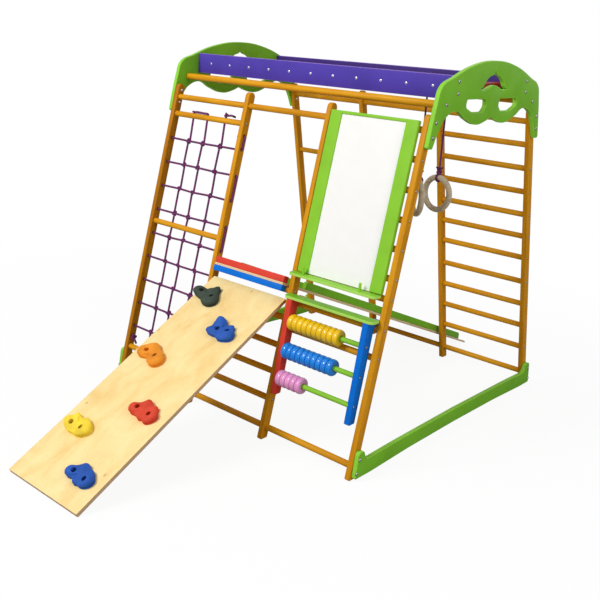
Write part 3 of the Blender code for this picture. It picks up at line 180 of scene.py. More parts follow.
class Shader:
    """A node material with short calls for the nodes used here."""

    def __init__(self, name, **sockets):
        self.material = bpy.data.materials.new(name)
        self.material.use_nodes = True
        self.tree = self.material.node_tree
        self.bsdf = self.tree.nodes["Principled BSDF"]
        for key, value in sockets.items():
            self.bsdf.inputs[key.replace("_", " ")].default_value = value

    def feed(self, socket, value):
        if isinstance(value, bpy.types.NodeSocket):
            self.tree.links.new(value, socket)
        else:
            socket.default_value = value

    def node(self, kind, *fed, **values):
        """A node with its settings or named inputs, and with its first inputs fed in order."""
        made = self.tree.nodes.new("ShaderNode" + kind)
        for key, value in values.items():
            if hasattr(made, key):
                setattr(made, key, value)
            else:
                self.feed(made.inputs[key.replace("_", " ")], value)
        for socket, value in zip(made.inputs, fed):
            self.feed(socket, value)
        return made

    def place(self, stretch=(1, 1, 1), shuffle=True):
        """Object coordinates, stretched, and shifted by a different amount on each piece."""
        source = self.node("TexCoord").outputs["Object"]
        if shuffle:
            dice = self.node("ObjectInfo").outputs["Random"]
            move = self.node("VectorMath", (3.1, 7.7, 5.3), operation="SCALE", Scale=dice)
            source = self.node("VectorMath", source, move.outputs[0], operation="ADD").outputs[0]
        return self.node("Mapping", source, Scale=stretch).outputs[0]

    def noise(self, where, scale, detail=4.0, distortion=0.0):
        return self.node("TexNoise", where, Scale=scale, Detail=detail, Distortion=distortion).outputs["Fac"]

    def ramp(self, value, *stops):
        made = self.node("ValToRGB", value)
        points = made.color_ramp.elements
        while len(points) < len(stops):
            points.new(0.5)
        for point, (position, colour) in zip(points, stops):
            point.position = position
            point.color = (*colour, 1.0)
        return made.outputs["Color"]

    def mix(self, share, a, b, blend="MIX"):
        made = self.node("Mix", data_type="RGBA", blend_type=blend)
        for i, value in ((0, share), (6, a), (7, b)):
            self.feed(made.inputs[i], (*value, 1.0) if isinstance(value, tuple) else value)
        return made.outputs[2]

    def times(self, a, b):
        return self.node("Math", a, b, operation="MULTIPLY").outputs[0]

    def bump(self, height, distance, strength):
        made = self.node("Bump", Strength=strength, Distance=distance, Height=height)
        self.feed(self.bsdf.inputs["Normal"], made.outputs[0])

    def colour(self, value):
        self.feed(self.bsdf.inputs["Base Color"], value)

    def roughness(self, value, low, high):
        made = self.node("MapRange", value, To_Min=low, To_Max=high)
        self.feed(self.bsdf.inputs["Roughness"], made.outputs[0])


ALONG_Y, ALONG_Z = (1, 0.06, 1), (1, 1, 0.06)
PLAIN = (1.0, 1.0, 1.0)
PIN_STOPS = ((0.005, (0.50, 0.34, 0.20)), (0.012, (0.92, 0.85, 0.74)), (0.026, PLAIN))
VENEER_BANDS = 165 / math.pi


def wood(name, codes, grain, figure=1.0):
    """Varnished wood: fine streaks and slow figure that run with the grain."""
    s = Shader(name, Coat_Weight=0.03, Coat_Roughness=0.3, Specular_IOR_Level=0.10)
    light, middle, dark = map(linear, codes)
    where = s.place(grain)
    streaks = s.noise(where, 190.0, 5.0, 0.4)
    figured = s.noise(where, 34.0, 3.0, 1.6)
    patches = s.noise(s.place(), 5.0, 2.0)
    base = s.ramp(figured, (0.26, dark), (0.48, middle), (0.76, light))
    fine = s.ramp(streaks, (0.30, scaled(middle, 0.80)), (0.60, PLAIN))
    toned = s.mix(0.30 * figure, base, fine, "MULTIPLY")
    s.colour(s.mix(s.times(patches, 0.30), toned, light))
    s.roughness(streaks, 0.36, 0.52)
    s.bump(streaks, 0.00022, 0.5)
    return s.material


def birch(name, *codes):
    """Rotary-cut birch veneer: soft mottle, short flecks along the grain and rare pin knots."""
    s = Shader(name, Coat_Weight=0.03, Coat_Roughness=0.35, Specular_IOR_Level=0.15)
    light, middle, dark = map(linear, codes)
    mottle = s.noise(s.place((1, 0.6, 1)), 10.0, 4.0, 0.8)
    waves = s.noise(s.place((1, 0.22, 1)), 30.0, 3.0, 1.2)
    flecks = s.noise(s.place((1, 0.25, 1)), 260.0, 4.0)
    base = s.ramp(mottle, (0.28, dark), (0.46, middle), (0.64, light))
    waved = s.mix(0.16, base, s.ramp(waves, (0.34, dark), (0.58, light)))
    fine = s.ramp(flecks, (0.30, (0.86, 0.80, 0.70)), (0.48, PLAIN))
    toned = s.mix(0.45, waved, fine, "MULTIPLY")
    spots = s.node("TexVoronoi", s.place((1, 0.6, 1)), voronoi_dimensions="2D", Scale=3.3)
    s.colour(s.mix(0.8, toned, s.ramp(spots.outputs["Distance"], *PIN_STOPS), "MULTIPLY"))
    s.roughness(flecks, 0.42, 0.58)
    s.bump(flecks, 0.00012, 0.4)
    return s.material


def painted(name, code):
    """Sprayed paint over wood: even colour, faint raised grain and slow tone changes."""
    s = Shader(name, Coat_Weight=0.02, Coat_Roughness=0.3, Specular_IOR_Level=0.09)
    body = linear(code)
    slow = s.noise(s.place(), 7.0, 3.0)
    peel = s.noise(s.place(), 420.0, 3.0)
    s.colour(s.ramp(slow, (0.30, scaled(body, 0.90)), (0.52, body), (0.75, scaled(body, 1.07))))
    s.roughness(peel, 0.32, 0.46)
    s.bump(peel, 0.0002, 0.4)
    return s.material


def plastic(name, code, rough=0.14, grain=0.0, mottle=0.08):
    """Moulded plastic, with a clear gloss where it is smooth."""
    glossy = rough < 0.3
    s = Shader(name, Coat_Weight=0.25 if glossy else 0.0, Coat_Roughness=0.08,
               Specular_IOR_Level=0.35 if glossy else 0.15)
    body = linear(code)
    slow = s.noise(s.place(), 16.0, 3.0)
    fine = s.noise(s.place(), 900.0, 4.0)
    s.colour(s.ramp(slow, (0.3, scaled(body, 1 - mottle)), (0.7, scaled(body, 1 + mottle))))
    s.roughness(fine, rough * 0.8, rough * 1.3)
    if grain:
        s.bump(fine, grain, 0.6)
    return s.material


def plywood_edge(name, *codes):
    """Cut plywood: pale and dark veneers in turn through the thickness."""
    s = Shader(name, Coat_Weight=0.05)
    light, dark = map(linear, codes)
    stripes = s.node("TexWave", s.place(shuffle=False), wave_type="BANDS", bands_direction="Z",
                     Scale=VENEER_BANDS, Distortion=0.6, Detail=1.0)
    grit = s.noise(s.place(), 700.0, 3.0)
    veneers = s.ramp(stripes.outputs["Fac"], (0.35, dark), (0.65, light))
    s.colour(s.mix(0.35, veneers, s.ramp(grit, (0.3, scaled(dark, 0.6)), (0.7, light))))
    s.roughness(grit, 0.5, 0.7)
    s.bump(grit, 0.0003, 0.5)
    return s.material


def braid(name, code):
    """Twisted cord: fine fibres in lighter and darker tones, with slow darker patches."""
    s = Shader(name, Sheen_Weight=0.06, Sheen_Roughness=0.4, Specular_IOR_Level=0.2)
    body = linear(code)
    fibres = s.noise(s.place(), 900.0, 5.0, 1.0)
    slow = s.noise(s.place(), 24.0, 2.0)
    toned = s.ramp(fibres, (0.30, scaled(body, 0.55)), (0.70, scaled(body, 1.25)))
    s.colour(s.mix(s.times(slow, 0.3), toned, scaled(body, 0.7)))
    s.roughness(fibres, 0.55, 0.8)
    s.bump(fibres, 0.0005, 0.7)
    return s.material


def steel(name, *tone):
    s = Shader(name, Metallic=0.85)
    scratch = s.noise(s.place((1, 1, 0.2)), 500.0, 3.0)
    s.colour(s.ramp(scratch, (0.3, scaled(tone, 0.8)), (0.7, tone)))
    s.roughness(scratch, 0.25, 0.45)
    return s.material


WOOD_Y = wood("honey_wood_y", ("E3A21C", "D69110", "BC7808"), ALONG_Y)
WOOD_Z = wood("honey_wood_z", ("EAAA20", "DD9A14", "C4800A"), ALONG_Z)
# A darker copy of the honey wood: painted shade for the front left post
SHADED_WOOD_Y = wood("shaded_honey_wood_y", ("C48412", "B5740A", "9C6006"), ALONG_Y)
BIRCH_Y = birch("birch_face", "FEE5A6", "FADB98", "EFCA80")
BIRCH_EDGE = plywood_edge("birch_edge", "E6C698", "B0845A")
BED_EDGE = plywood_edge("slide_bed_edge", "FFE4B0", "CCA478")
RING_WOOD = wood("ring_wood", ("D8CBB4", "C6B597", "A89272"), (1, 1, 1), 0.6)
PANEL = painted("panel_green", "79BC2A")
# Lighter rim green: a painted highlight on the end panels' cut edges, which are the same paint as the faces
LIT_PANEL_RIM = painted("lit_panel_rim_green", "90D240")
BRIGHT = painted("bright_green", "8CCA36")
# Lighter rim green: a painted highlight along the edges of the tray and the shelf
LIT_BRIGHT_RIM = painted("lit_bright_rim_green", "B0E066")
PURPLE = painted("beam_purple", "5342AC")
# Lighter rim purple: a painted highlight along the beams' edges
LIT_PURPLE_RIM = painted("lit_beam_rim_purple", "8462C0")
# A darker copy of the beam purple: painted shade for the rear beam
SHADED_PURPLE = painted("shaded_beam_purple", "42307A")
RED = painted("rung_red", "DC4434")
BLUE = painted("bar_blue", "0670D8")
WHITE = plastic("white_sheet", "F9F8F5", 0.34, 0.0, 0.01)
BEAD = {"yellow": plastic("bead_yellow", "F4C608"), "blue": plastic("bead_blue", "0C84E6"),
        "pink": plastic("bead_pink", "EC9DD2")}
CORD = braid("plum_cord", "76336A")
SINGED = braid("singed_end", "1C0C18")
# The hole-mouth paint and the dark steel are painted shade: rings round screws, net holes and bolts, bolt
# sockets, and the bolts deep in the holds
FIXING = {
    "zinc": steel("zinc_steel", 0.72, 0.72, 0.74), "bolt": steel("bolt_steel", 0.56, 0.55, 0.53),
    "dark": steel("painted_shade_steel", 0.06, 0.06, 0.07), "mouth": painted("painted_shade_ring", "3A220C"),
}


# Mesh helpers

def mesh_of(name, shape):
    bmesh.ops.recalc_face_normals(shape, faces=shape.faces)
    mesh = bpy.data.meshes.new(name)
    shape.to_mesh(mesh)
    shape.free()
    return mesh


def piece(name, shape, matrix, body, replaced, slot, *materials, sharp=50):
    """A shown piece: placed, finished, and riding on its CAD body."""
    mesh = mesh_of(name, shape)
    made = new_object(name, mesh)
    made.matrix_world = SHIFT @ matrix
    for material in materials:
        mesh.materials.append(material)
    mesh.shade_smooth()
    mesh.set_sharp_from_angle(angle=math.radians(sharp))
    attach(made, body)
    if replaced:
        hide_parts(replaced)
    return made


def rounded(corners, steps=6):
    """Points of a closed outline whose (x, y, radius) corners become arcs."""
    points = []
    for i, (x, y, radius) in enumerate(corners):
        corner = Vector((x, y, 0))
        if radius <= 0:
            points.append(corner)
            continue
        before, after = (Vector((*corners[k % len(corners)][:2], 0)) - corner for k in (i - 1, i + 1))
        half = before.angle(after) / 2
        reach = min(radius / math.tan(half), 0.49 * before.length, 0.49 * after.length)
        start = corner + before.normalized() * reach
        end = corner + after.normalized() * reach
        middle = (before.normalized() + after.normalized()).normalized()
        centre = corner + middle * (reach / math.cos(half))
        for k in range(steps + 1):
            blend = start.lerp(end, k / steps) - centre
            points.append(centre + blend.normalized() * (start - centre).length)
    return points


def rectangle(x0, x1, y0, y1, radius):
    return rounded([(x0, y0, radius), (x1, y0, radius), (x1, y1, radius), (x0, y1, radius)], 4)


def half_turn(x, y, radius, steps=24):
    """Sharp corners over a half circle, from its low x end to its high x end."""
    return [(x + radius * math.cos(a), y + radius * math.sin(a), 0)
            for a in (math.pi * k / steps for k in range(steps, -1, -1))]


def smooth_outline(points, resolution):
    """Points of a closed Bezier outline through (x, y, corner?) points."""
    curve = bpy.data.curves.new("outline", "CURVE")
    curve.dimensions = "2D"
    curve.fill_mode = "NONE"
    spline = curve.splines.new("BEZIER")
    spline.bezier_points.add(len(points) - 1)
    spline.resolution_u = resolution
    for target, (x, y, corner) in zip(spline.bezier_points, points):
        target.co = (x, y, 0.0)
        target.handle_left_type = target.handle_right_type = "VECTOR" if corner else "AUTO"
    spline.use_cyclic_u = True
    holder = new_object("outline", curve)
    mesh = bpy.data.meshes.new_from_object(holder.evaluated_get(bpy.context.evaluated_depsgraph_get()))
    found = [v.co.copy() for v in mesh.vertices]
    bpy.data.objects.remove(holder)
    bpy.data.curves.remove(curve)
    bpy.data.meshes.remove(mesh)
    return found


def mirrored(half):
    return list(half) + [(-x, y, corner) for x, y, corner in reversed(half[1:-1])]


def next_pairs(items):
    """Each item of a closed run with the one after it."""
    return zip(items, items[1:] + items[:1])


def signed_area(points):
    return sum(a.x * b.y - b.x * a.y for a, b in next_pairs(points)) / 2


def inset(points, distance, mitre_least=0.35):
    """The outline moved to its left by a distance; corners stay mitred."""
    moved = []
    for i, p in enumerate(points):
        a = (p - points[i - 1]).normalized()
        b = (points[(i + 1) % len(points)] - p).normalized()
        left = Vector((-a.y, a.x, 0))
        middle = left + Vector((-b.y, b.x, 0))
        middle = (middle if middle.length > 1e-6 else left).normalized()
        moved.append(p + middle * (distance / max(mitre_least, middle.dot(left))))
    return moved


def skin(shape, rings, index=0, closed=False):
    """Adds the faces between neighbouring rings; a ring of one vertex closes an end."""
    for lower, upper in zip(rings, rings[1:] + rings[:closed]):
        count = max(len(lower), len(upper))
        for k in range(count):
            n = (k + 1) % count
            if len(lower) == 1:
                corners = (lower[0], upper[n], upper[k])
            elif len(upper) == 1:
                corners = (lower[k], lower[n], upper[0])
            else:
                corners = (lower[k], lower[n], upper[n], upper[k])
            shape.faces.new(corners).material_index = index


def plate(loops, thickness, edge, steps=3):
    """A plate cut to outlines, outer one first, with its edges rounded over.

    Faces of the cut rim have material 1, those of the two sides have material 0."""
    shape = bmesh.new()
    caps = {1: [], -1: []}
    layers = [(edge * (1 - math.cos(a)), thickness / 2 - edge + edge * math.sin(a))
              for a in (math.pi / 2 * k / steps for k in range(steps + 1))]
    layers = [(depth, -z) for depth, z in reversed(layers)] + layers
    for index, loop in enumerate(loops):
        flat = [Vector((p.x, p.y, 0)) for p in loop]
        points = [p for i, p in enumerate(flat) if (p - flat[i - 1]).length > 2e-5]
        if (signed_area(points) > 0) != (index == 0):
            points.reverse()
        rings = [[shape.verts.new((p.x, p.y, z)) for p in inset(points, depth)] for depth, z in layers]
        skin(shape, rings, 1)
        for hand, ring in ((-1, rings[0]), (1, rings[-1])):
            caps[hand] += [shape.edges.get(pair) for pair in next_pairs(ring)]
    for hand, edges in caps.items():
        filled = bmesh.ops.triangle_fill(shape, use_beauty=True, use_dissolve=False, edges=edges,
                                         normal=(0, 0, hand))
        for item in filled["geom"]:
            if isinstance(item, bmesh.types.BMFace):
                item.material_index = 0
    return shape


def lathe(shape, profile, sides, matrix=UNIT, closed=False):
    """Adds (radius, height) points turned about Z; radius 0 closes an end."""
    rings = [[shape.verts.new(matrix @ Vector((radius * math.cos(a), radius * math.sin(a), height)))
              for a in angles(sides if radius else 1)] for radius, height in profile]
    skin(shape, rings, closed=closed)


def bar(length, radius, sides=32, ease=0.0015):
    """A round bar from height 0 up, its ends eased."""
    end = [(0, 0), (radius - ease, 0), (radius - ease * 0.3, ease * 0.3), (radius, ease)]
    shape = bmesh.new()
    lathe(shape, end + [(r, length - height) for r, height in reversed(end)], sides)
    return shape


def bar_between(name, start, end, radius, replaced, slot, finish):
    """A round bar of the frame, from one point to another."""
    return piece(name, bar((end - start).length, radius), along(start, end), "frame", replaced, slot, finish)


# Ropes

ROPE_LAY, ROPE_STRANDS, ROPE_STEP = 0.026, 3, 0.0018
KNOT_STEP, KNOT_POINTS = 0.0022, 44


def resampled(points, step):
    """Points a step apart on the path."""
    lengths = [0.0]
    for a, b in zip(points, points[1:]):
        lengths.append(lengths[-1] + (b - a).length)
    count = max(2, round(lengths[-1] / step))
    found, i = [], 0
    for k in range(count + 1):
        at = lengths[-1] * k / count
        while i < len(points) - 2 and lengths[i + 1] < at:
            i += 1
        span = max(lengths[i + 1] - lengths[i], 1e-9)
        found.append(points[i].lerp(points[i + 1], (at - lengths[i]) / span))
    return found


def rope(shape, points, radius, sides=12, groove=0.20, step=ROPE_STEP, closed=False, singed=0):
    """Adds a twisted rope of several strands along a path; its last steps may be singed."""
    line = resampled(points, step)
    if closed:
        line.pop()
    count = len(line)
    turns = max(1, round(count * step / ROPE_LAY))
    up, rings = None, []
    for i, p in enumerate(line):
        before = line[i - 1] if i or closed else p
        after = line[(i + 1) % count] if i < count - 1 or closed else p
        tangent = (after - before).normalized()
        up = tangent.orthogonal().normalized() if up is None else up
        up = (up - tangent * up.dot(tangent)).normalized()
        across = tangent.cross(up)
        twist = 2 * math.pi * turns * i / count
        rings.append([])
        for a in angles(sides):
            grooved = radius * (1 - groove * (1 - abs(math.cos(ROPE_STRANDS * a / 2))) ** 2)
            rings[-1].append(shape.verts.new(around(p, up, across, a + twist, grooved)))
    if closed:
        skin(shape, rings, closed=True)
        return
    tips = [[shape.verts.new(end + (end - inner).normalized() * radius * 0.4)]
            for end, inner in ((line[0], line[1]), (line[-1], line[-2]))]
    cut = len(rings) - singed
    skin(shape, [tips[0]] + rings[:cut])
    skin(shape, rings[cut - 1:] + [tips[1]], int(singed > 0))


def overhand(shape, centre, size, radius, matrix):
    """Adds a tight knot: one cord led through its own loop."""
    path = []
    for t in angles(KNOT_POINTS):
        p = Vector((math.sin(t) + 2 * math.sin(2 * t), math.cos(t) - 2 * math.cos(2 * t), -math.sin(3 * t)))
        path.append(matrix @ (p * (size / 3)) + centre)
    rope(shape, path + path[:1], radius, sides=8, groove=0.12, step=KNOT_STEP, closed=True)


def rope_loop(shape, centre, first, second, radius, steps=40):
    """Adds a closed turn of ring rope."""
    path = [around(centre, first, second, a, radius) for a in angles(steps)]
    rope(shape, path + path[:1], ROPE_RADIUS, closed=True)


# Rings and their ropes, the two free cords

ROPE_RADIUS = 0.004
MONKEY_PITCH, MONKEY_COUNT, RING_RUNG = 0.11656, 11, 9
BEAM_BOTTOM_Z, BEAM_TOP_Z = 1.373, 1.460
BEAM_MIDDLE_Z = (BEAM_BOTTOM_Z + BEAM_TOP_Z) / 2
RING_RADIUS, RING_TUBE, RING_TOP_Z = 0.067, 0.012, 1.0426
RING_STEPS, RING_SIDES = 96, 28
RING_Y = (-0.122, 0.032)
RING_TURN = (math.radians(-42.0), math.radians(-12.0))
# Turns of a ring's knot: height from its middle, size, spin
KNOT_TURNS = ((-0.0065, 0.0098, 0.5), (0.0, 0.0112, 1.4), (0.0065, 0.0092, 2.3))
KNOT_RISE = 0.0285              # from the top of a ring's tube axis to the middle of its knot
HITCH_DROP, HITCH_SIZE, HITCH_CORD = 0.004, 0.0075, 0.0036
# Loose ends of a ring's knot: hand and lean
KNOT_ENDS = ((1, 0.45), (-1, 0.8))
KNOT_END_RISE, KNOT_END_OFF, KNOT_END_REACH, KNOT_END_LIFT, KNOT_END_BOW = 0.006, 0.010, 0.006, 0.012, 0.002


def monkey_x(i):
    return MONKEY_PITCH * (i - (MONKEY_COUNT - 1) / 2)


def build_ring_rope(i, x, y, ring_top, tangent, across):
    """A rope from its loop round the overhead rung down to the knot above its ring."""
    hook = Vector((x, y, BEAM_MIDDLE_Z))
    top = hook.z - RUNG - 2 * ROPE_RADIUS - GAP
    low = ring_top.z + KNOT_RISE
    path = [Vector((x, y, top + (low - top) * k / 30)) for k in range(31)]
    shape = bmesh.new()
    rope(shape, path, ROPE_RADIUS)
    cord = piece(f"ring_cord_{i}", shape, UNIT, f"rope_{i}", f"ring_rope_{i}", "plum_cord", CORD)
    shape = bmesh.new()
    for shift in (-ROPE_RADIUS, ROPE_RADIUS):
        rope_loop(shape, hook + AXIS_Y * shift, AXIS_X, AXIS_Z, SEAT + ROPE_RADIUS)
    rope_loop(shape, ring_top, across, AXIS_Z, RING_TUBE + RUNNING_GAP + ROPE_RADIUS)
    turned = placed(Vector(), tangent, AXIS_Z)
    overhand(shape, Vector((x, y, top - HITCH_DROP)), HITCH_SIZE, HITCH_CORD, turned)
    for rise, size, spin in KNOT_TURNS:
        spun = turned @ Matrix.Rotation(spin, 4, "Z")
        overhand(shape, Vector((x, y, low + rise)), size, ROPE_RADIUS, spun)
    for hand, lean in KNOT_ENDS:
        root = Vector((x, y, low + KNOT_END_RISE)) + across * (hand * KNOT_END_OFF)
        tip = root + (across + tangent * 0.5) * (hand * KNOT_END_REACH) + AXIS_Z * (KNOT_END_LIFT * lean)
        bow = root.lerp(tip, 0.5) + AXIS_Z * KNOT_END_BOW
        rope(shape, [root, bow, tip], ROPE_RADIUS * 0.95, singed=2)
    ends = piece(f"ring_cord_knots_{i}", shape, UNIT, f"rope_{i}", None, "plum_cord", CORD, SINGED)


def build_rings():
    x = monkey_x(RING_RUNG)
    for i, (y, turn) in enumerate(zip(RING_Y, RING_TURN), 1):
        ring_top = Vector((x, y, RING_TOP_Z - RING_TUBE))
        tangent = Vector((math.cos(turn), math.sin(turn), 0))
        build_ring_rope(i, x, y, ring_top, tangent, Vector((-tangent.y, tangent.x, 0)))
        shape = bmesh.new()
        rings = []
        for a in angles(RING_STEPS):
            middle = Vector((math.cos(a), math.sin(a), 0)) * RING_RADIUS
            rings.append([shape.verts.new(around(middle, middle.normalized(), AXIS_Z, b, RING_TUBE))
                          for b in angles(RING_SIDES)])
        skin(shape, rings, closed=True)
        piece(f"gym_ring_{i}", shape, placed(ring_top - AXIS_Z * RING_RADIUS, tangent, AXIS_Z), f"ring_{i}",
              f"ring_{i}", "ring_wood", RING_WOOD)


# Screws and bolts, gathered into one mesh for each body and kind

HEADS = defaultdict(bmesh.new)
HEAD_SET, WASHER_SET, WASHER_HIGH = 0.0006, 0.0002, 0.0005
SCREW_RADIUS, SCREW_HIGH, BEAM_SCREW_RADIUS = 0.0042, 0.0012, 0.0052
BOLT_RADIUS, BOLT_HIGH, HOLD_BOLT_RADIUS, HOLD_BOLT_HIGH = 0.0066, 0.0032, 0.0055, 0.004
NUT_RADIUS, NUT_HIGH = 0.006, 0.0035
# Profiles, as shares of a fixing's radius and height
SCREW_HEAD = ((0, 0), (1, 0), (1, 0.6), (0.8, 1), (0.42, 1.15), (0.34, 0.2), (0, 0.2))
BOLT_HEAD = ((0, 0), (1, 0), (1, 0.35), (0.92, 0.7), (0.7, 1), (0.45, 1.05))
BOLT_SOCKET = ((0, 0.45), (0.45, 0.45), (0.45, 1.05))
NUT = ((0, 0), (1, 0), (1, 0.8), (0.86, 1), (0.5, 1), (0.5, 1.5), (0, 1.5))


def head(body, kind, place, out, shares, radius, high, sides):
    """Adds a turned screw head, bolt head or nut, set a little into the piece that it holds."""
    lathe(HEADS[body, kind], [(r * radius, h * high) for r, h in shares], sides,
          along(place - out * HEAD_SET, place + out))


def washer(body, kind, place, out, radius, spread):
    """A flat dark ring round a fixing or a hole's mouth, which paints the shade there."""
    inner, outer = radius * 0.98, radius * spread
    lathe(HEADS[body, kind], [(inner, 0), (outer, 0), (outer, WASHER_HIGH), (inner, WASHER_HIGH)], 20,
          along(place - out * WASHER_SET, place + out), True)


def screw(body, place, out):
    """A screw head with a recess, with a dark ring round its rim that paints the shade where it is sunk into
    wood.
    """
    washer(body, "mouth", place, out, SCREW_RADIUS, 1.35)
    head(body, "zinc", place, out, SCREW_HEAD, SCREW_RADIUS, SCREW_HIGH, 20)


def bolt(body, place, out, radius=BOLT_RADIUS, high=BOLT_HIGH, kind="bolt"):
    """A domed bolt head with a hexagon socket in near-black steel that paints its shade; a bright one sits
    on a dark ring that paints its shadow.
    """
    head(body, kind, place, out, BOLT_HEAD, radius, high, 24)
    if kind == "bolt":
        washer(body, "dark", place, out, radius, 1.22)
    head(body, "dark", place, out, BOLT_SOCKET, radius, high, 6)


def bore(target, runs, radius):
    """Cuts round holes into a piece, for good."""
    shape = bmesh.new()
    for start, end in runs:
        length = (end - start).length
        lathe(shape, [(0, 0), (radius, 0), (radius, length), (0, length)], 32, along(start, end))
    cutter = new_object("cutter", mesh_of("cutter", shape))
    cutter.matrix_world = target.matrix_world
    bpy.context.view_layer.update()
    modifier = target.modifiers.new("bore", "BOOLEAN")
    modifier.operation = "DIFFERENCE"
    modifier.solver = "EXACT"
    modifier.object = cutter
    depsgraph = bpy.context.evaluated_depsgraph_get()
    depsgraph.update()
    cut = bpy.data.meshes.new_from_object(target.evaluated_get(depsgraph))
    target.modifiers.clear()
    target.data = cut
    cut.set_sharp_from_angle(angle=math.radians(50))
    bpy.data.objects.remove(cutter)


# Ladders

POST_EDGE, FOOT_ROUND = 0.0035, 0.006


def build_posts():
    half = POST_DEPTH / 2
    for side, word in SIDES:
        foot = Vector((side * POST_FOOT_Y, 0))
        out = Vector((side * COS_LEAN, SIN_LEAN))
        spread = Vector((side * half / COS_LEAN, 0))
        top = foot + Vector((-side * SIN_LEAN, COS_LEAN)) * (POST_TOP_Z / COS_LEAN)
        outline = rounded([(*(foot + spread), FOOT_ROUND), (*(top + out * half), half * 0.98),
                           (*(top - out * half), half * 0.98), (*(foot - spread), FOOT_ROUND)], 8)
        # Grain runs with local Y, so the outline is turned to the lean
        lean = Matrix.Rotation(side * POST_LEAN, 4, "Z")
        turned = [lean.inverted() @ p for p in outline]
        for i, x in enumerate(POST_X):
            matrix = end_on(x) @ lean
            # The front left post takes the darker copy of the wood, which paints its shade
            finish = SHADED_WOOD_Y if side == FRONT and i == 0 else WOOD_Y
            post = piece(f"post_{word}_{i + 1}", plate([turned], POST_WIDTH, POST_EDGE, 4), matrix, "frame",
                         f"{word}_post_{i + 1}", "wood", finish, finish)
            if side == FRONT and i in (0, 1):
                drill_post(post, matrix.inverted(), i)


def drill_post(post, local, i):
    """Bores a post of the net's bay: a hole for each level cord, worn where it turns."""
    x, hand = POST_X[i], (-1, 1)[i]
    turns = [(net_level(k), 1 if (k + i) % 2 else -1) for k in range(NET_LEVELS)]
    turns.append((NET_START_Z, 1) if i else (NET_END_Z, -1))
    runs = [[local @ on_side(FRONT, x + s * POST_WIDTH, z) for s in (-1, 1)] for z, _ in turns]
    bore(post, runs, NET_HOLE)
    mouths = []
    for z, away in turns:
        worn = on_side(FRONT, x + hand * POST_FACE, z) + LADDER_UP * (away * NET_HOLE_WORN)
        mouths.append([local @ (worn + AXIS_X * hand * reach) for reach in (-NET_HOLE_DEEP, 0.01)])
        # Dark rings on both faces of the post paint the shade in each hole's mouth
        washer("frame", "mouth", worn, AXIS_X * hand, NET_HOLE, 1.3)
        washer("frame", "mouth", on_side(FRONT, x - hand * POST_FACE, z), AXIS_X * -hand, NET_HOLE, 1.3)
    bore(post, mouths, NET_HOLE)


def drill_rung(rung, local, z):
    across = LADDER_UP * 2 * RUNG
    axes = [on_side(FRONT, x, z) for x in NET_UPRIGHTS]
    bore(rung, [(local @ (p - across), local @ (p + across)) for p in axes], NET_HOLE)


def build_rungs():
    for row, (side, heights, first, last) in RUNG_ROWS.items():
        single = len(heights) == 1
        for k, z in enumerate(heights, 1):
            start = on_side(side, POST_X[first] + POST_FACE - RUNG_SEAT, z)
            end = on_side(side, POST_X[last] - POST_FACE + RUNG_SEAT, z)
            rung = bar_between(f"ladder_rung_{row}" + ("" if single else f"_{k}"), start, end, RUNG,
                               f"{row}_rung" if single else None, "wood", WOOD_Z)
            if row in ("net", "left_mid"):
                drill_rung(rung, along(start, end).inverted(), z)
            # The inner posts show a screw only on their right, for the rungs that come from the left
            for post, hand in ((first, -1), (last, 1)):
                covered = post in (0, 3) and z < RAIL_COVER_Z
                if (hand == 1 or post == 0) and not covered:
                    screw("frame", on_side(side, POST_X[post] + hand * POST_FACE, z), AXIS_X * hand)


# End panels and base rails

END_BOARD, END_EDGE = 0.018, 0.0028
PANEL_OUTLINE = (
    (0.000, 1.517, False), (0.164, 1.499, False), (0.306, 1.454, False), (0.384, 1.419, False),
    (0.404, 1.366, False), (0.4205, 1.300, False), (0.439, 1.2095, True), (0.4325, 1.202, True),
    (0.409, 1.202, True), (0.371, 1.273, False), (0.333, 1.314, False), (0.262, 1.331, False),
    (0.2006, 1.303, False), (0.112, 1.278, False), (0.045, 1.288, False), (0.000, 1.304, True),
)
EYE_OUTLINE = (
    (0.054, 1.3735, 0.012), (0.196, 1.3735, 0.010), (0.203, 1.345, 0.018), (0.150, 1.325, 0.040),
    (0.072, 1.325, 0.022), (0.050, 1.345, 0.014),
)
PETAL_OUTLINE = (
    (0.000, 1.4825, True), (0.010, 1.468, False), (0.045, 1.455, False), (0.071, 1.437, False),
    (0.086, 1.419, False), (0.105, 1.410, True), (0.072, 1.4075, False), (0.036, 1.418, False),
    (0.000, 1.425, False),
)
RAIL_OUTLINE = (
    (0.000, 0.022, 0.0), (0.350, 0.0185, 0.30), (0.600, 0.0095, 0.10), (0.7035, 0.0095, 0.008),
    (0.690, 0.1125, 0.016), (0.6555, 0.1125, 0.017), (0.641, 0.0725, 0.045), (0.450, 0.0775, 0.20),
    (0.000, 0.082, 0.0),
)
POST_BOLTS = ((0.400, 1.295), (0.412, 1.242))
END_BOLTS = ((0.271, 1.440), (0.271, 1.396), (0.342, 1.357), *POST_BOLTS, (0.682, 0.083), (0.694, 0.031))
GRAB_BAR_Y, GRAB_BAR_Z, GRAB_BAR_RADIUS = 0.3425, 1.3562, 0.014


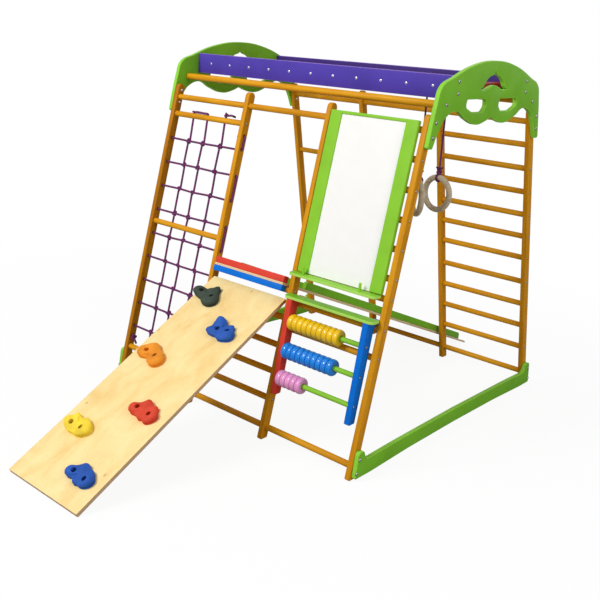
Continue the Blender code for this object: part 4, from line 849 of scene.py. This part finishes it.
def build_ends():
    eyes = [rounded([(flip * x, y, r) for x, y, r in EYE_OUTLINE], 6) for flip in (1, -1)]
    panel = [smooth_outline(mirrored(PANEL_OUTLINE), 12), smooth_outline(mirrored(PETAL_OUTLINE), 8), *eyes]
    half = rounded(RAIL_OUTLINE, 8)
    rail = [half + [Vector((-p.x, p.y, 0)) for p in reversed(half[1:-1])]]
    for hand, word in HANDS:
        matrix = end_on(hand * (END_FACE + GAP + END_BOARD / 2))
        for name, loops, node in (("panel", panel, "end_panel"), ("rail", rail, "base_rail")):
            piece(f"{name}_{word}", plate(loops, END_BOARD, END_EDGE, 4), matrix, "frame",
                  f"{node}_{word}", "green_panel", PANEL, LIT_PANEL_RIM)
        outer = hand * (END_FACE + GAP + END_BOARD)
        for side in (FRONT, REAR):
            for y, z in END_BOLTS:
                bolt("frame", Vector((outer, side * y, z)), AXIS_X * hand)
            for y, z in POST_BOLTS:
                inner = Vector((hand * (POST_X[3] - POST_FACE), side * y, z))
                head("frame", "zinc", inner, AXIS_X * -hand, NUT, NUT_RADIUS, NUT_HIGH, 6)
    for side, word in SIDES:
        start, end = (Vector((hand * (END_FACE - GAP), side * GRAB_BAR_Y, GRAB_BAR_Z)) for hand in (-1, 1))
        bar_between(f"grab_bar_{word}", start, end, GRAB_BAR_RADIUS, f"hand_bar_{word}", "wood", WOOD_Z)


# Monkey-bar top

BEAM_OUTER_Y, BEAM_THICK, BEAM_EDGE = 0.2811, 0.022, 0.002


def build_beams():
    reach = END_FACE - GAP
    high = (BEAM_TOP_Z - BEAM_BOTTOM_Z) / 2
    for side, word in SIDES:
        centre = Vector((0, side * (BEAM_OUTER_Y - BEAM_THICK / 2), BEAM_MIDDLE_Z))
        shape = plate([rectangle(-reach, reach, -high, high, BEAM_EDGE)], BEAM_THICK, BEAM_EDGE)
        # The rear beam takes the darker copy of the purple, which paints its shade
        face = PURPLE if side == FRONT else SHADED_PURPLE
        piece(f"beam_{word}", shape, placed(centre, AXIS_X, AXIS_Z), "frame", f"top_beam_{word}", "purple",
              face, LIT_PURPLE_RIM)
        for i in range(MONKEY_COUNT):
            place = Vector((monkey_x(i), side * BEAM_OUTER_Y, BEAM_MIDDLE_Z))
            head("frame", "zinc", place, AXIS_Y * side, SCREW_HEAD, BEAM_SCREW_RADIUS, SCREW_HIGH, 20)
    inner = BEAM_OUTER_Y - BEAM_THICK + RUNG_SEAT
    for i in range(MONKEY_COUNT):
        start, end = (Vector((monkey_x(i), side * inner, BEAM_MIDDLE_Z)) for side in (FRONT, REAR))
        bar_between(f"overhead_rung_{i + 1}", start, end, RUNG, None, "red", RED)


# Net

NET_SWAY_X, NET_SWAY_Z = 0.0022, 0.0028
NET_GROOVE, NET_BEND = 0.10, NET_CORD * 1.1
NET_KNOT, NET_KNOT_CORD = 0.0092, 0.0046
# Sideways steps of an upright above and below its knots, by turns from level to level
NET_STEP, NET_STEP_RISE = ((0.0065, -0.0025), (-0.0020, 0.0055)), 0.009
# Straight parts of an upright below the net rung and beside the left middle rung
RUNG_STRAIGHT, MID_STRAIGHT = 0.020, 0.016
UPRIGHT_TAILS, TAIL_SWAY = (0.012, 0.027), 0.0015
TOP_TAIL, TOP_TAIL_CREST, TOP_TAIL_RISE, TOP_LOOP_RISE = 0.054, 0.030, 0.0020, 0.0012
TOP_LOOP_BEND, TOP_TAIL_BEND, TOP_TAIL_DIP, TOP_TAIL_LIFT, DOUBLED_START = 0.009, 0.014, 0.003, 0.004, 0.004
# Sizes of the knots at the cords' ends
START_KNOT, END_KNOT, TOP_KNOT = 0.0055, 0.0115, 0.0085


def open_rounded(points, radius, steps=4):
    """An open path with its corners rounded."""
    found = [points[0]]
    for before, corner, after in zip(points, points[1:], points[2:]):
        a, b = before - corner, after - corner
        reach = min(radius, 0.45 * a.length, 0.45 * b.length)
        start, end = corner + a.normalized() * reach, corner + b.normalized() * reach
        for t in (k / steps for k in range(steps + 1)):
            found.append(start * (1 - t) ** 2 + corner * 2 * t * (1 - t) + end * t ** 2)
    return found + [points[-1]]


def net_crossings():
    """Where the cords are knotted, a little off their true lines as hand-tied knots are."""
    dice = random.Random(7)

    def off(most):
        return dice.uniform(-most, most)

    return [[on_side(FRONT, x + off(NET_SWAY_X), net_level(level) + off(NET_SWAY_Z)) for x in NET_UPRIGHTS]
            for level in range(NET_LEVELS)]


def lacing_corners(knots):
    """The long cord: level after level, out through one post and in through it again."""
    stand = POST_FACE + GAP + NET_CORD
    outer = (POST_X[0] - stand, POST_X[1] + stand)
    beside = RUNG + NET_CORD + 2 * RUNNING_GAP + GAP * 3
    pass_by = NET_CORD * 2.5
    corners = [on_side(FRONT, x, NET_START_Z) for x in (POST_X[1] - stand - NET_CORD, outer[1])]
    for level, row in enumerate(knots):
        z = net_level(level)
        last = level % 2
        corners.append(on_side(FRONT, outer[1 - last], z))
        corners += row if last else row[::-1]
        corners.append(on_side(FRONT, outer[last], z))
        for rung in (SLIDE_RUNG_Z, BOARD_RUNG_Z, *MIDDLE_RUNGS_Z):
            if last and net_level(level + 1) < rung < z and level + 1 < NET_LEVELS:
                corners += [on_side(FRONT, outer[1], rung + way * pass_by, -beside) for way in (1, -1)]
    inside = POST_X[0] + stand + NET_CORD
    return corners + [on_side(FRONT, outer[0], NET_END_Z), on_side(FRONT, inside, NET_END_Z),
                      on_side(FRONT, inside + NET_TAIL, NET_END_Z - NET_TAIL)]


def upright_path(knots, i):
    """An upright from its hole in the top rung down to its loose end."""
    x = NET_UPRIGHTS[i]
    points = [on_side(FRONT, x, NET_RUNG_Z), on_side(FRONT, x, NET_RUNG_Z - RUNG_STRAIGHT)]
    for level, row in enumerate(knots):
        above, below = NET_STEP[level % 2]
        over_rung = net_level(level + 1) < LEFT_MID_Z < net_level(level)
        under_rung = net_level(level) < LEFT_MID_Z < net_level(level - 1)
        rise = LADDER_UP * NET_STEP_RISE
        points += [row[i] + AXIS_X * (0 if under_rung else above) + rise, row[i],
                   row[i] + AXIS_X * (0 if over_rung else below) - rise]
        if over_rung:
            points += [on_side(FRONT, x, LEFT_MID_Z + way * MID_STRAIGHT) for way in (1, -1)]
    first, second = (knots[-1][i] - LADDER_UP * tail for tail in UPRIGHT_TAILS)
    return points + [first, second - AXIS_X * TAIL_SWAY]


def build_net():
    knots = net_crossings()
    corners = lacing_corners(knots)
    shape = bmesh.new()
    rope(shape, open_rounded(corners, NET_BEND), NET_CORD, groove=NET_GROOVE, singed=6)
    piece("net_lacing", shape, UNIT, "frame", "rope_net", "plum_cord", CORD, SINGED)
    uprights, lumps = bmesh.new(), bmesh.new()

    def cord(points, singed=0):
        rope(uprights, points, NET_CORD, groove=NET_GROOVE, singed=singed)

    first, second, third = (upright_path(knots, i) for i in range(3))
    # One cord makes the first two uprights and lies on the rung between them, doubled by a second turn
    lying = NET_RUNG_Z + (SEAT + NET_CORD) * COS_LEAN
    rise = LADDER_UP * TOP_LOOP_RISE
    left, right = (on_side(FRONT, x, lying) + rise for x in NET_UPRIGHTS[:2])
    over = [first[0], left, left.lerp(right, 0.3) + rise * 0.6, left.lerp(right, 0.75) - rise, right - rise,
            second[0]]
    cord(first[::-1] + open_rounded(over, TOP_LOOP_BEND)[1:-1] + second, 3)
    cord([p - rise + LADDER_OUT * NET_CORD * 1.6 for p in (left - AXIS_X * DOUBLED_START, left, right)])
    # The third upright ends in a knot on the rung, with a tail
    knot = on_side(FRONT, NET_UPRIGHTS[2], NET_RUNG_Z + (SEAT + NET_KNOT + NET_KNOT_CORD * 0.6) * COS_LEAN)
    crest = knot + AXIS_X * TOP_TAIL_CREST + LADDER_UP * TOP_TAIL_RISE
    dip = knot.lerp(crest, 0.35) - LADDER_UP * TOP_TAIL_DIP
    tip = on_side(FRONT, knot.x + TOP_TAIL, lying) + LADDER_UP * TOP_TAIL_LIFT
    cord(third[::-1] + [knot])
    cord(open_rounded([knot, dip, crest, tip], TOP_TAIL_BEND), 7)
    dice = random.Random(11)
    for place in (place for row in knots for place in row):
        spin = Matrix.Rotation(dice.uniform(0, 2 * math.pi), 4, "Z")
        tilt = Matrix.Rotation(dice.uniform(-0.6, 0.6), 4, "X")
        overhand(lumps, place, NET_KNOT * dice.uniform(0.92, 1.12), NET_KNOT_CORD,
                 placed(Vector(), AXIS_X, LADDER_UP) @ tilt @ spin)
    for place, size in ((corners[0], START_KNOT), (corners[-2], END_KNOT), (knot, TOP_KNOT)):
        overhand(lumps, place, size, size * 0.45, placed(Vector(), LADDER_UP, LADDER_OUT))
    piece("net_uprights", uprights, UNIT, "frame", None, "plum_cord", CORD, SINGED)
    piece("net_knots", lumps, UNIT, "frame", None, "plum_cord", CORD)


# Climbing board

BOARD_WIDTH, BOARD_THICK, BOARD_X = 0.4015, 0.015, 0.00375
BOARD_ANGLE = math.radians(28.78)
BOARD_DROP, BOARD_PAST_RUNG = 0.0684, 0.0376
HOOK_THICK, HOOK_X, HOOK_FRONT, HOOK_BACK, HOOK_WALL = 0.018, 0.095, 0.055, 0.028, 0.014
HOOK_MOUTH, HOOK_SHOULDER = -0.024, -0.010
HOLD_HEIGHT, HOLD_LOBING, HOLD_SIDES = 0.026, 0.28, 144
HOLD_RECESS, HOLD_RECESS_DEPTH = 0.0100, 0.0155
HOLD_DISH, HOLD_DISH_REACH = 0.0065, 0.0155
HOLD_FALL, HOLD_RIDGE, HOLD_CREASE = 0.09, 0.028, 0.0017
# Rise as a share of the crown's height, and spread as a share of the outline
HOLD_LAYERS = (
    (0.0, 0.985), (0.12, 0.985), (0.18, 0.955), (0.24, 0.905), (0.30, 0.895), (0.36, 0.92), (0.43, 0.965),
    (0.51, 0.995), (0.60, 1.0), (0.70, 0.985), (0.80, 0.95), (0.89, 0.895), (0.95, 0.82), (0.985, 0.73),
    *((1.0, spread / 100) for spread in range(63, 0, -8)),
)
BOARD_UP = Vector((0, math.cos(BOARD_ANGLE), math.sin(BOARD_ANGLE)))
BOARD_OUT = Vector((0, -math.sin(BOARD_ANGLE), math.cos(BOARD_ANGLE)))
BOARD_AXLE = on_side(FRONT, 0.0, BOARD_RUNG_Z)
BOARD_HEAD = BOARD_AXLE + BOARD_OUT * BOARD_DROP + BOARD_UP * BOARD_PAST_RUNG
BOARD_LENGTH = (BOARD_HEAD.z - BOARD_THICK * BOARD_OUT.z) / BOARD_UP.z
# Outlines of the holds: sixteen radii each in millimetres, from +X round
GREEN_GRIP = (60, 51, 51, 60, 48, 44, 44, 68, 76, 52, 40, 38, 45, 54, 65, 69)
WINGED_GRIP = (65, 53, 53, 36, 40, 57, 72, 59, 54, 64, 52, 43, 42, 52, 60, 70)
ORANGE_GRIP = (65, 54, 45, 43, 50, 57, 59, 62, 70, 62, 38, 30, 36, 48, 63, 69)
RED_GRIP = (63, 52, 51, 40, 46, 52, 48, 51, 67, 64, 44, 39, 42, 42, 57, 62)
YELLOW_GRIP = (67, 59, 51, 46, 39, 40, 56, 56, 68, 59, 49, 43, 40, 43, 52, 61)
LOBED_GRIP = (63, 53, 47, 40, 45, 48, 46, 50, 65, 63, 40, 38, 42, 42, 52, 61)
# Holds: name, colour, place across and up the board, outline, places of the two bolts, slot
HOLDS = (
    ("green", "3A463C", (-0.123, 1.013), GREEN_GRIP, ((-0.035, 0.006), (0.029, -0.004)), "hold_dark_green"),
    ("blue_upper", "2A58AE", (0.084, 0.875), WINGED_GRIP, ((-0.016, -0.004), (0.033, 0.002)), "blue"),
    ("orange", "EA922A", (-0.0965, 0.6535), ORANGE_GRIP, ((-0.030, 0.004), (0.025, -0.003)), "hold_orange"),
    ("red", "D84830", (0.1004, 0.4286), RED_GRIP, ((-0.033, -0.002), (0.034, -0.007)), "red"),
    ("yellow", "F6D43E", (-0.097, 0.262), YELLOW_GRIP, ((-0.028, -0.005), (0.028, -0.005)), "bead_yellow"),
    ("blue_lower", "2856AC", (0.101, 0.115), LOBED_GRIP, ((-0.031, -0.003), (0.034, -0.009)), "blue"),
)


def board_point(x, up, out=0.0):
    return BOARD_HEAD + AXIS_X * x + BOARD_UP * (up - BOARD_LENGTH) + BOARD_OUT * out


def smooth_radius(radii, turn):
    """An outline's radius at a share of the turn, on a smooth curve with its lobes drawn out."""
    mean = sum(radii) / len(radii)
    i, t = divmod(turn * len(radii), 1)
    near = (radii[(int(i) + k) % len(radii)] for k in (-1, 0, 1, 2))
    a, b, c, d = (r + (r - mean) * HOLD_LOBING for r in near)
    return 0.5 * (2 * b + (c - a) * t + (2 * a - 5 * b + 4 * c - d) * t ** 2
                  + (3 * b - a - 3 * c + d) * t ** 3)


def hold_height(x, y, radii, recesses):
    """Height of a hold's crown: humps towards its lobes, hollows between them, dished bolts."""
    turn = (math.atan2(y, x) / (2 * math.pi)) % 1.0
    radius = smooth_radius(radii, turn)
    share = min(1.0, math.hypot(x, y) / radius)
    lobe = radius * len(radii) / sum(radii) - 1
    ridge = 4 * share ** 2 * (1 - share) + 0.35 * share ** 3
    high = HOLD_HEIGHT * (1 - HOLD_FALL * share ** 2) + HOLD_RIDGE * lobe * ridge
    high -= HOLD_CREASE * (1 + math.sin(x * 90 + 1.0) * math.cos(y * 120 + 0.4)) * (1 - share ** 4)
    for rx, ry in recesses:
        away = math.hypot(x - rx, y - ry)
        high -= HOLD_DISH * math.exp(-(away / HOLD_DISH_REACH) ** 2)
    return high


def hold_shape(radii, recesses):
    """A moulded grip: undercut lobed flank, humped crown, and a dish round each bolt hole."""
    shape = bmesh.new()
    rings = []
    for rise, spread in HOLD_LAYERS:
        rings.append([])
        for turn in (k / HOLD_SIDES for k in range(HOLD_SIDES)):
            a, radius = 2 * math.pi * turn, smooth_radius(radii, turn) * spread
            x, y = radius * math.cos(a), radius * math.sin(a)
            rings[-1].append(shape.verts.new((x, y, rise * hold_height(x, y, radii, recesses))))
    skin(shape, rings + [[shape.verts.new((0, 0, hold_height(0, 0, radii, recesses)))]])
    shape.faces.new(rings[0][::-1])
    return shape


def hook_outline():
    top = BOARD_DROP - BOARD_THICK - GAP
    ring = RUNG + RUNNING_GAP
    outer = ring + HOOK_WALL
    return rounded([(-HOOK_FRONT, top, 0.004), (-outer, HOOK_SHOULDER, 0.010), (-outer, HOOK_MOUTH, 0.005),
                    (-ring, HOOK_MOUTH, 0.003), *half_turn(0, 0, ring), (ring, HOOK_MOUTH, 0.003),
                    (HOOK_BACK, HOOK_MOUTH, 0.005), (HOOK_BACK, top, 0.004)], 5)


def build_climbing_board():
    half = BOARD_LENGTH / 2
    outline = rectangle(-BOARD_WIDTH / 2, BOARD_WIDTH / 2, -half, half, 0.003)
    piece("climbing_ramp", plate([outline], BOARD_THICK, 0.0008, 2),
          placed(board_point(BOARD_X, half, -BOARD_THICK / 2), AXIS_X, BOARD_UP), "climbing_board",
          "climbing_board", "birch_ply", BIRCH_Y, BIRCH_EDGE)
    for hand, word in HANDS:
        piece(f"ramp_hook_{word}", plate([hook_outline()], HOOK_THICK, 0.001, 2),
              placed(BOARD_AXLE + AXIS_X * (hand * HOOK_X), BOARD_UP, BOARD_OUT), "climbing_board",
              f"board_hook_{word}", "birch_ply", BIRCH_Y, BIRCH_EDGE)
    floor = HOLD_HEIGHT - HOLD_RECESS_DEPTH
    for word, code, (x, up), millimetres, recesses, slot in HOLDS:
        shape = hold_shape([r / 1000 for r in millimetres], recesses)
        grip = piece(f"grip_{word}", shape, placed(board_point(x, up, GAP), AXIS_X, BOARD_UP),
                     "climbing_board", f"hold_{word}", slot,
                     plastic(f"hold_{word}", code, 0.52, 0.0007, 0.16))
        runs = [[Vector((rx, ry, z)) for z in (floor, HOLD_HEIGHT * 1.5)] for rx, ry in recesses]
        bore(grip, runs, HOLD_RECESS)
        for rx, ry in recesses:
            # The bolts in the recesses are near black, which paints the shade deep in the holes
            bolt("climbing_board", board_point(x + rx, up + ry, GAP + floor), BOARD_OUT, HOLD_BOLT_RADIUS,
                 HOLD_BOLT_HIGH, "dark")


# Slide

SLIDE_TAIL_PAST = 0.27465
SLIDE_WIDTH, SLIDE_BED, SLIDE_HEAD, SLIDE_BED_START = 0.380, 0.009, 0.042, 0.0015
HEAD_BAR_HIGH, HEAD_BAR_TOP_HIGH, HEAD_BAR_EDGE = 0.025, 0.027, 0.002
SLIDE_RAIL_THICK, SLIDE_RAIL_HIGH, SLIDE_RAIL_START, SLIDE_RAIL_SHORT = 0.018, 0.032, 0.110, 0.085
SLIDE_AXLE = on_side(FRONT, 0.0, SLIDE_RUNG_Z)
SLIDE_RUN = POST_FOOT_Y + SLIDE_TAIL_PAST - SLIDE_AXLE.y
SLIDE_ANGLE = math.atan2(SLIDE_AXLE.z, SLIDE_RUN) + math.asin(SEAT / math.hypot(SLIDE_RUN, SLIDE_AXLE.z))
SLIDE_DOWN = Vector((0, math.cos(SLIDE_ANGLE), -math.sin(SLIDE_ANGLE)))
SLIDE_OUT = Vector((0, math.sin(SLIDE_ANGLE), math.cos(SLIDE_ANGLE)))
SLIDE_TAIL = (SLIDE_AXLE.z + SEAT * SLIDE_OUT.z) / -SLIDE_DOWN.z


def slide_plank(name, run, out, edge, replaced, slot, *materials):
    """A plank across the slide, given by its runs along it and square to it."""
    middle = SLIDE_AXLE + SLIDE_DOWN * sum(run) / 2 + SLIDE_OUT * sum(out) / 2
    half = (run[1] - run[0]) / 2
    outline = rectangle(-SLIDE_WIDTH / 2, SLIDE_WIDTH / 2, -half, half, edge)
    piece(name, plate([outline], out[1] - out[0], edge), placed(middle, AXIS_X, SLIDE_DOWN), "slide",
          replaced, slot, *materials)


def build_slide():
    bed_top = SEAT + SLIDE_BED
    low = bed_top + GAP
    slide_plank("slide_floor", (-SLIDE_HEAD + SLIDE_BED_START, SLIDE_TAIL), (SEAT, bed_top), 0.0006,
                "slide_bed", "birch_ply", BIRCH_Y, BED_EDGE)
    under = SEAT - GAP
    bars = (("blue", under - HEAD_BAR_HIGH, under, BLUE), ("red", low, low + HEAD_BAR_TOP_HIGH, RED))
    for word, bottom, top, finish in bars:
        slide_plank(f"head_bar_{word}", (-SLIDE_HEAD, -SEAT), (bottom, top), HEAD_BAR_EDGE,
                    f"slide_head_bar_{word}", word, finish, finish)
    end = SLIDE_TAIL - SLIDE_RAIL_SHORT
    high = low + SLIDE_RAIL_HIGH
    outline = rounded([(SLIDE_RAIL_START, low, 0.001), (end, low, 0.001), (end - 0.006, high, 0.016),
                       (SLIDE_RAIL_START, high, 0.014)], 8)
    for hand, word in HANDS:
        x = hand * (SLIDE_WIDTH - SLIDE_RAIL_THICK) / 2
        piece(f"slide_side_{word}", plate([outline], SLIDE_RAIL_THICK, 0.002),
              placed(SLIDE_AXLE + AXIS_X * x, SLIDE_DOWN, SLIDE_OUT), "slide", f"slide_rail_{word}",
              "green_panel", PANEL, PANEL)


# Whiteboard

FRAME_X, FRAME_TOP_Z, FRAME_THICK = (0.241, 0.634), 1.294, 0.0175
STILE_WIDTH, TOP_RAIL, SHEET_THICK, SHEET_RECESS = 0.052, 0.012, 0.004, 0.004
TRAY_TOP_Z, TRAY_THICK, TRAY_X, TRAY_OFFS = 0.676, 0.0095, (0.222, 0.634), (0.0196, 0.060)
PEG_X, PEG_OFF, PEG_HIGH, PEG_RADIUS, PEG_SEAT = (0.284, 0.553), 0.045, 0.032, 0.0052, 0.003


def ladder_plate(name, loop, thickness, off, edge, replaced, slot, finish):
    foot = on_side(FRONT, 0.0, 0.0, off + thickness / 2)
    piece(name, plate([loop], thickness, edge), placed(foot, AXIS_X, LADDER_UP), "frame", replaced,
          slot, finish, finish)


def level_board(name, ends, offs, top_z, thickness, radius, finish, replaced):
    """A level board on the ladder's front, its front corners rounded."""
    back, front = (level_y(top_z - thickness, off) for off in offs)
    left, right = ends
    outline = rounded([(left, back, 0.004), (left, front, radius), (right, front, radius),
                       (right, back, 0.004)], 8)
    piece(name, plate([outline], thickness, 0.001), Matrix.Translation((0, 0, top_z - thickness / 2)),
          "frame", replaced, "green_bright", finish, LIT_BRIGHT_RIM)


def build_whiteboard():
    top = FRAME_TOP_Z / COS_LEAN
    sheet_top = top - TOP_RAIL
    # The frame stands on the level tray, and its outer face's lower edge is the last to clear it
    low = (TRAY_TOP_Z + GAP - (SEAT + FRAME_THICK) * SIN_LEAN) / COS_LEAN + FRAME_THICK * math.tan(POST_LEAN)
    x0, x1 = FRAME_X
    inner0, inner1 = x0 + STILE_WIDTH, x1 - STILE_WIDTH
    legs = rounded([(x0, low, 0.001), (inner0, low, 0.001), (inner0, sheet_top, 0.001),
                    (inner1, sheet_top, 0.001), (inner1, low, 0.001), (x1, low, 0.001), (x1, top, 0.003),
                    (x0, top, 0.003)], 3)
    ladder_plate("board_frame", legs, FRAME_THICK, SEAT, 0.0018, "whiteboard_frame", "green_bright", BRIGHT)
    sheet = rectangle(inner0 + GAP, inner1 - GAP, low, sheet_top - GAP, 0.0005)
    ladder_plate("board_sheet", sheet, SHEET_THICK, SEAT + FRAME_THICK - SHEET_RECESS - SHEET_THICK, 0.0004,
                 "whiteboard_sheet", "white_sheet", WHITE)
    level_board("board_tray", TRAY_X, TRAY_OFFS, TRAY_TOP_Z, TRAY_THICK, 0.016, BRIGHT, "pen_tray")
    for (_, word), x in zip(HANDS, PEG_X):
        base = Vector((x, level_y(TRAY_TOP_Z, PEG_OFF), TRAY_TOP_Z - PEG_SEAT))
        piece(f"tray_peg_{word}", bar(PEG_HIGH + PEG_SEAT, PEG_RADIUS, 24),
              Matrix.Translation(base), "frame", f"pen_peg_{word}", "green_bright", BRIGHT)


# Abacus

ABACUS_BAR, ABACUS_X = 0.024, (0.2446, 0.6294)
ABACUS_TOP_Z, ABACUS_BOTTOM_Z, ABACUS_TOP_OFF, ABACUS_BOTTOM_OFF = 0.578, 0.200, 0.061, 0.041
ABACUS_TILT, ABACUS_HOOK, ABACUS_HOOK_LIP, ABACUS_SEAT_RUN = math.radians(1.3), 0.012, 0.010, 0.002
ABACUS_TOP_RUNG_Z, ABACUS_LOW_RUNG_Z = RUNG_ROWS["right"][1][6:]
SHELF_THICK, SHELF_X, SHELF_OFFS = 0.0105, (0.225, 0.649), (0.0196, 0.062)
ROD_RADIUS, ROD_OFF, ROD_SEAT = 0.010, 0.036, 0.004
BEAD_RADIUS, BEAD_PITCH, BEAD_GAP, BEAD_SIDES, BEAD_STEPS = 0.0325, 0.0244, 0.0003, 56, 12
BEAD_ROWS = (("yellow", 0.488, 10), ("blue", 0.377, 10), ("pink", 0.270, 5))


def abacus_outline():
    """Side of a bar: it rests on the lower rung and hooks over the upper one."""
    def at(z, radius, off=None):
        rest = SEAT + GAP + (z - ABACUS_LOW_RUNG_Z) / COS_LEAN * math.tan(ABACUS_TILT)
        return (level_y(z, rest if off is None else off), z, radius)

    over = half_turn(side_y(FRONT, ABACUS_TOP_RUNG_Z), ABACUS_TOP_RUNG_Z, SEAT)
    near, far = over[0][0], over[-1][0]
    low = ABACUS_TOP_RUNG_Z - ABACUS_HOOK_LIP
    return rounded([
        at(ABACUS_TOP_Z, 0.002, ABACUS_TOP_OFF), at(ABACUS_BOTTOM_Z, 0.004, ABACUS_BOTTOM_OFF),
        at(ABACUS_BOTTOM_Z, 0.004), at(low, 0), (near, ABACUS_TOP_RUNG_Z - ABACUS_SEAT_RUN, 0), *over,
        (far, low, 0.002), (far + ABACUS_HOOK, low, 0.003), (far + ABACUS_HOOK, ABACUS_TOP_Z, 0.006)], 5)


def bead_section(hole):
    """One bead: a bored puck with full round shoulders."""
    half = (BEAD_PITCH - BEAD_GAP) / 2
    points = []
    for k in range(BEAD_STEPS + 1):
        a = math.pi * k / BEAD_STEPS
        points.append((BEAD_RADIUS - half * 0.6076 * (1 - math.sin(a) ** 0.75), -half * math.cos(a)))
    face = [(BEAD_RADIUS * 0.55, half * 0.985), (hole + 0.0035, half * 0.93), (hole, half * 0.80)]
    return points + face + [(r, -high) for r, high in reversed(face)]


def build_abacus():
    outline = abacus_outline()
    left, right = ABACUS_X
    for word, x, finish in (("red", left + ABACUS_BAR / 2, RED), ("blue", right - ABACUS_BAR / 2, BLUE)):
        piece(f"frame_bar_{word}", plate([outline], ABACUS_BAR, 0.0018), end_on(x), "frame",
              f"abacus_bar_{word}", word, finish, finish)
    # The shelf takes the darker panel green, which paints the shade that falls on it under the tray
    level_board("counting_shelf", SHELF_X, SHELF_OFFS, ABACUS_TOP_Z + GAP + SHELF_THICK, SHELF_THICK, 0.018,
                PANEL, "abacus_shelf")
    for word, z, count in BEAD_ROWS:
        centre = Vector((0.0, level_y(z, ROD_OFF), z))
        start = centre + AXIS_X * (left + ABACUS_BAR - ROD_SEAT)
        end = centre + AXIS_X * (right - ABACUS_BAR + ROD_SEAT)
        bar_between(f"counting_rod_{word}", start, end, ROD_RADIUS, f"abacus_rod_{word}", "green_bright",
                    BRIGHT)
        screw("frame", centre + AXIS_X * right, AXIS_X)
        screw("frame", centre + AXIS_X * left, -AXIS_X)
        for k in range(count):
            shape = bmesh.new()
            lathe(shape, bead_section(ROD_RADIUS + RUNNING_GAP), BEAD_SIDES, closed=True)
            middle = centre + AXIS_X * (left + ABACUS_BAR + GAP + BEAD_PITCH * (k + 0.5))
            piece(f"bead_{word}_{k + 1}", shape, placed(middle, AXIS_Y, AXIS_Z),
                  f"{word}_beads", None if k else f"beads_{word}", f"bead_{word}", BEAD[word], sharp=70)


# Floor, backdrop and lights

FLOOR_BOUNCE, FLOOR_GLOW, FLOOR_FADE = 0.45, 0.92, (1.2, 3.0)
FLOOR_REACH, FLOOR_DROP = 30, 0.0005
SOFT_LIGHT = 0.40
# Lamps: place, what they face, size, power
LAMPS = {
    "key": ((-1.4, -4.5, 4.2), (0, 0.2, 0.6), 2.2, 215),
    "fill": ((4.8, -0.6, 2.4), (0, 0.3, 0.7), 3.0, 66),
}


def backdrop_material():
    """A white floor that keeps the object's shadow; it bounces little light back up."""
    s = Shader("backdrop_white", Roughness=0.9, Specular_IOR_Level=0.0)
    seen = s.node("LightPath").outputs["Is Camera Ray"]
    s.colour(s.mix(seen, (FLOOR_BOUNCE,) * 3, PLAIN))
    away = s.node("VectorMath", s.node("TexCoord").outputs["Object"], operation="LENGTH").outputs["Value"]
    start, end = FLOOR_FADE
    fade = s.node("MapRange", away, From_Min=start, From_Max=end, To_Min=FLOOR_GLOW, To_Max=1.0).outputs[0]
    glow = s.node("Emission").outputs[0]
    blend = s.node("MixShader", s.times(seen, fade), s.bsdf.outputs[0], glow)
    s.feed(s.tree.nodes["Material Output"].inputs["Surface"], blend.outputs[0])
    return s.material


def add_floor():
    shape = bmesh.new()
    bmesh.ops.create_grid(shape, x_segments=1, y_segments=1, size=FLOOR_REACH)
    made = new_object("floor", mesh_of("floor", shape))
    made.location = (0, 0, -FLOOR_DROP)
    made.data.materials.append(backdrop_material())


def add_lamps():
    for name, (place, target, size, power) in LAMPS.items():
        data = bpy.data.lights.new(name, "AREA")
        data.shape = "DISK"
        data.size = size
        data.energy = power
        lamp = new_object(name, data)
        lamp.location = place
        lamp.rotation_mode = "QUATERNION"
        lamp.rotation_quaternion = (Vector(target) - Vector(place)).to_track_quat("-Z", "Y")


def add_world():
    """Soft light from all round, which the camera and glossy surfaces see as white."""
    world = bpy.data.worlds.new("studio")
    world.use_nodes = True
    nodes, links = world.node_tree.nodes, world.node_tree.links
    soft, seen = nodes["Background"], nodes.new("ShaderNodeBackground")
    for background, strength in ((soft, SOFT_LIGHT), (seen, 1.0)):
        background.inputs["Color"].default_value = (1, 1, 1, 1)
        background.inputs["Strength"].default_value = strength
    path, either, mix = (nodes.new("ShaderNode" + kind) for kind in ("LightPath", "Math", "MixShader"))
    either.operation = "MAXIMUM"
    for start, end in (
            (path.outputs["Is Camera Ray"], either.inputs[0]),
            (path.outputs["Is Glossy Ray"], either.inputs[1]),
            (either.outputs[0], mix.inputs[0]), (soft.outputs[0], mix.inputs[1]),
            (seen.outputs[0], mix.inputs[2]), (mix.outputs[0], nodes["World Output"].inputs["Surface"])):
        links.new(start, end)
    bpy.context.scene.world = world


add_camera()
build_rings()
build_posts()
build_rungs()
build_ends()
build_beams()
build_net()
build_climbing_board()
build_slide()
build_whiteboard()
build_abacus()
for (owner, kind), heads in HEADS.items():
    piece(f"{owner}_fixings_{kind}", heads, UNIT, owner, None, None, FIXING[kind])
add_floor()
add_world()
add_lamps()
bpy.context.scene.view_settings.view_transform = "Standard"
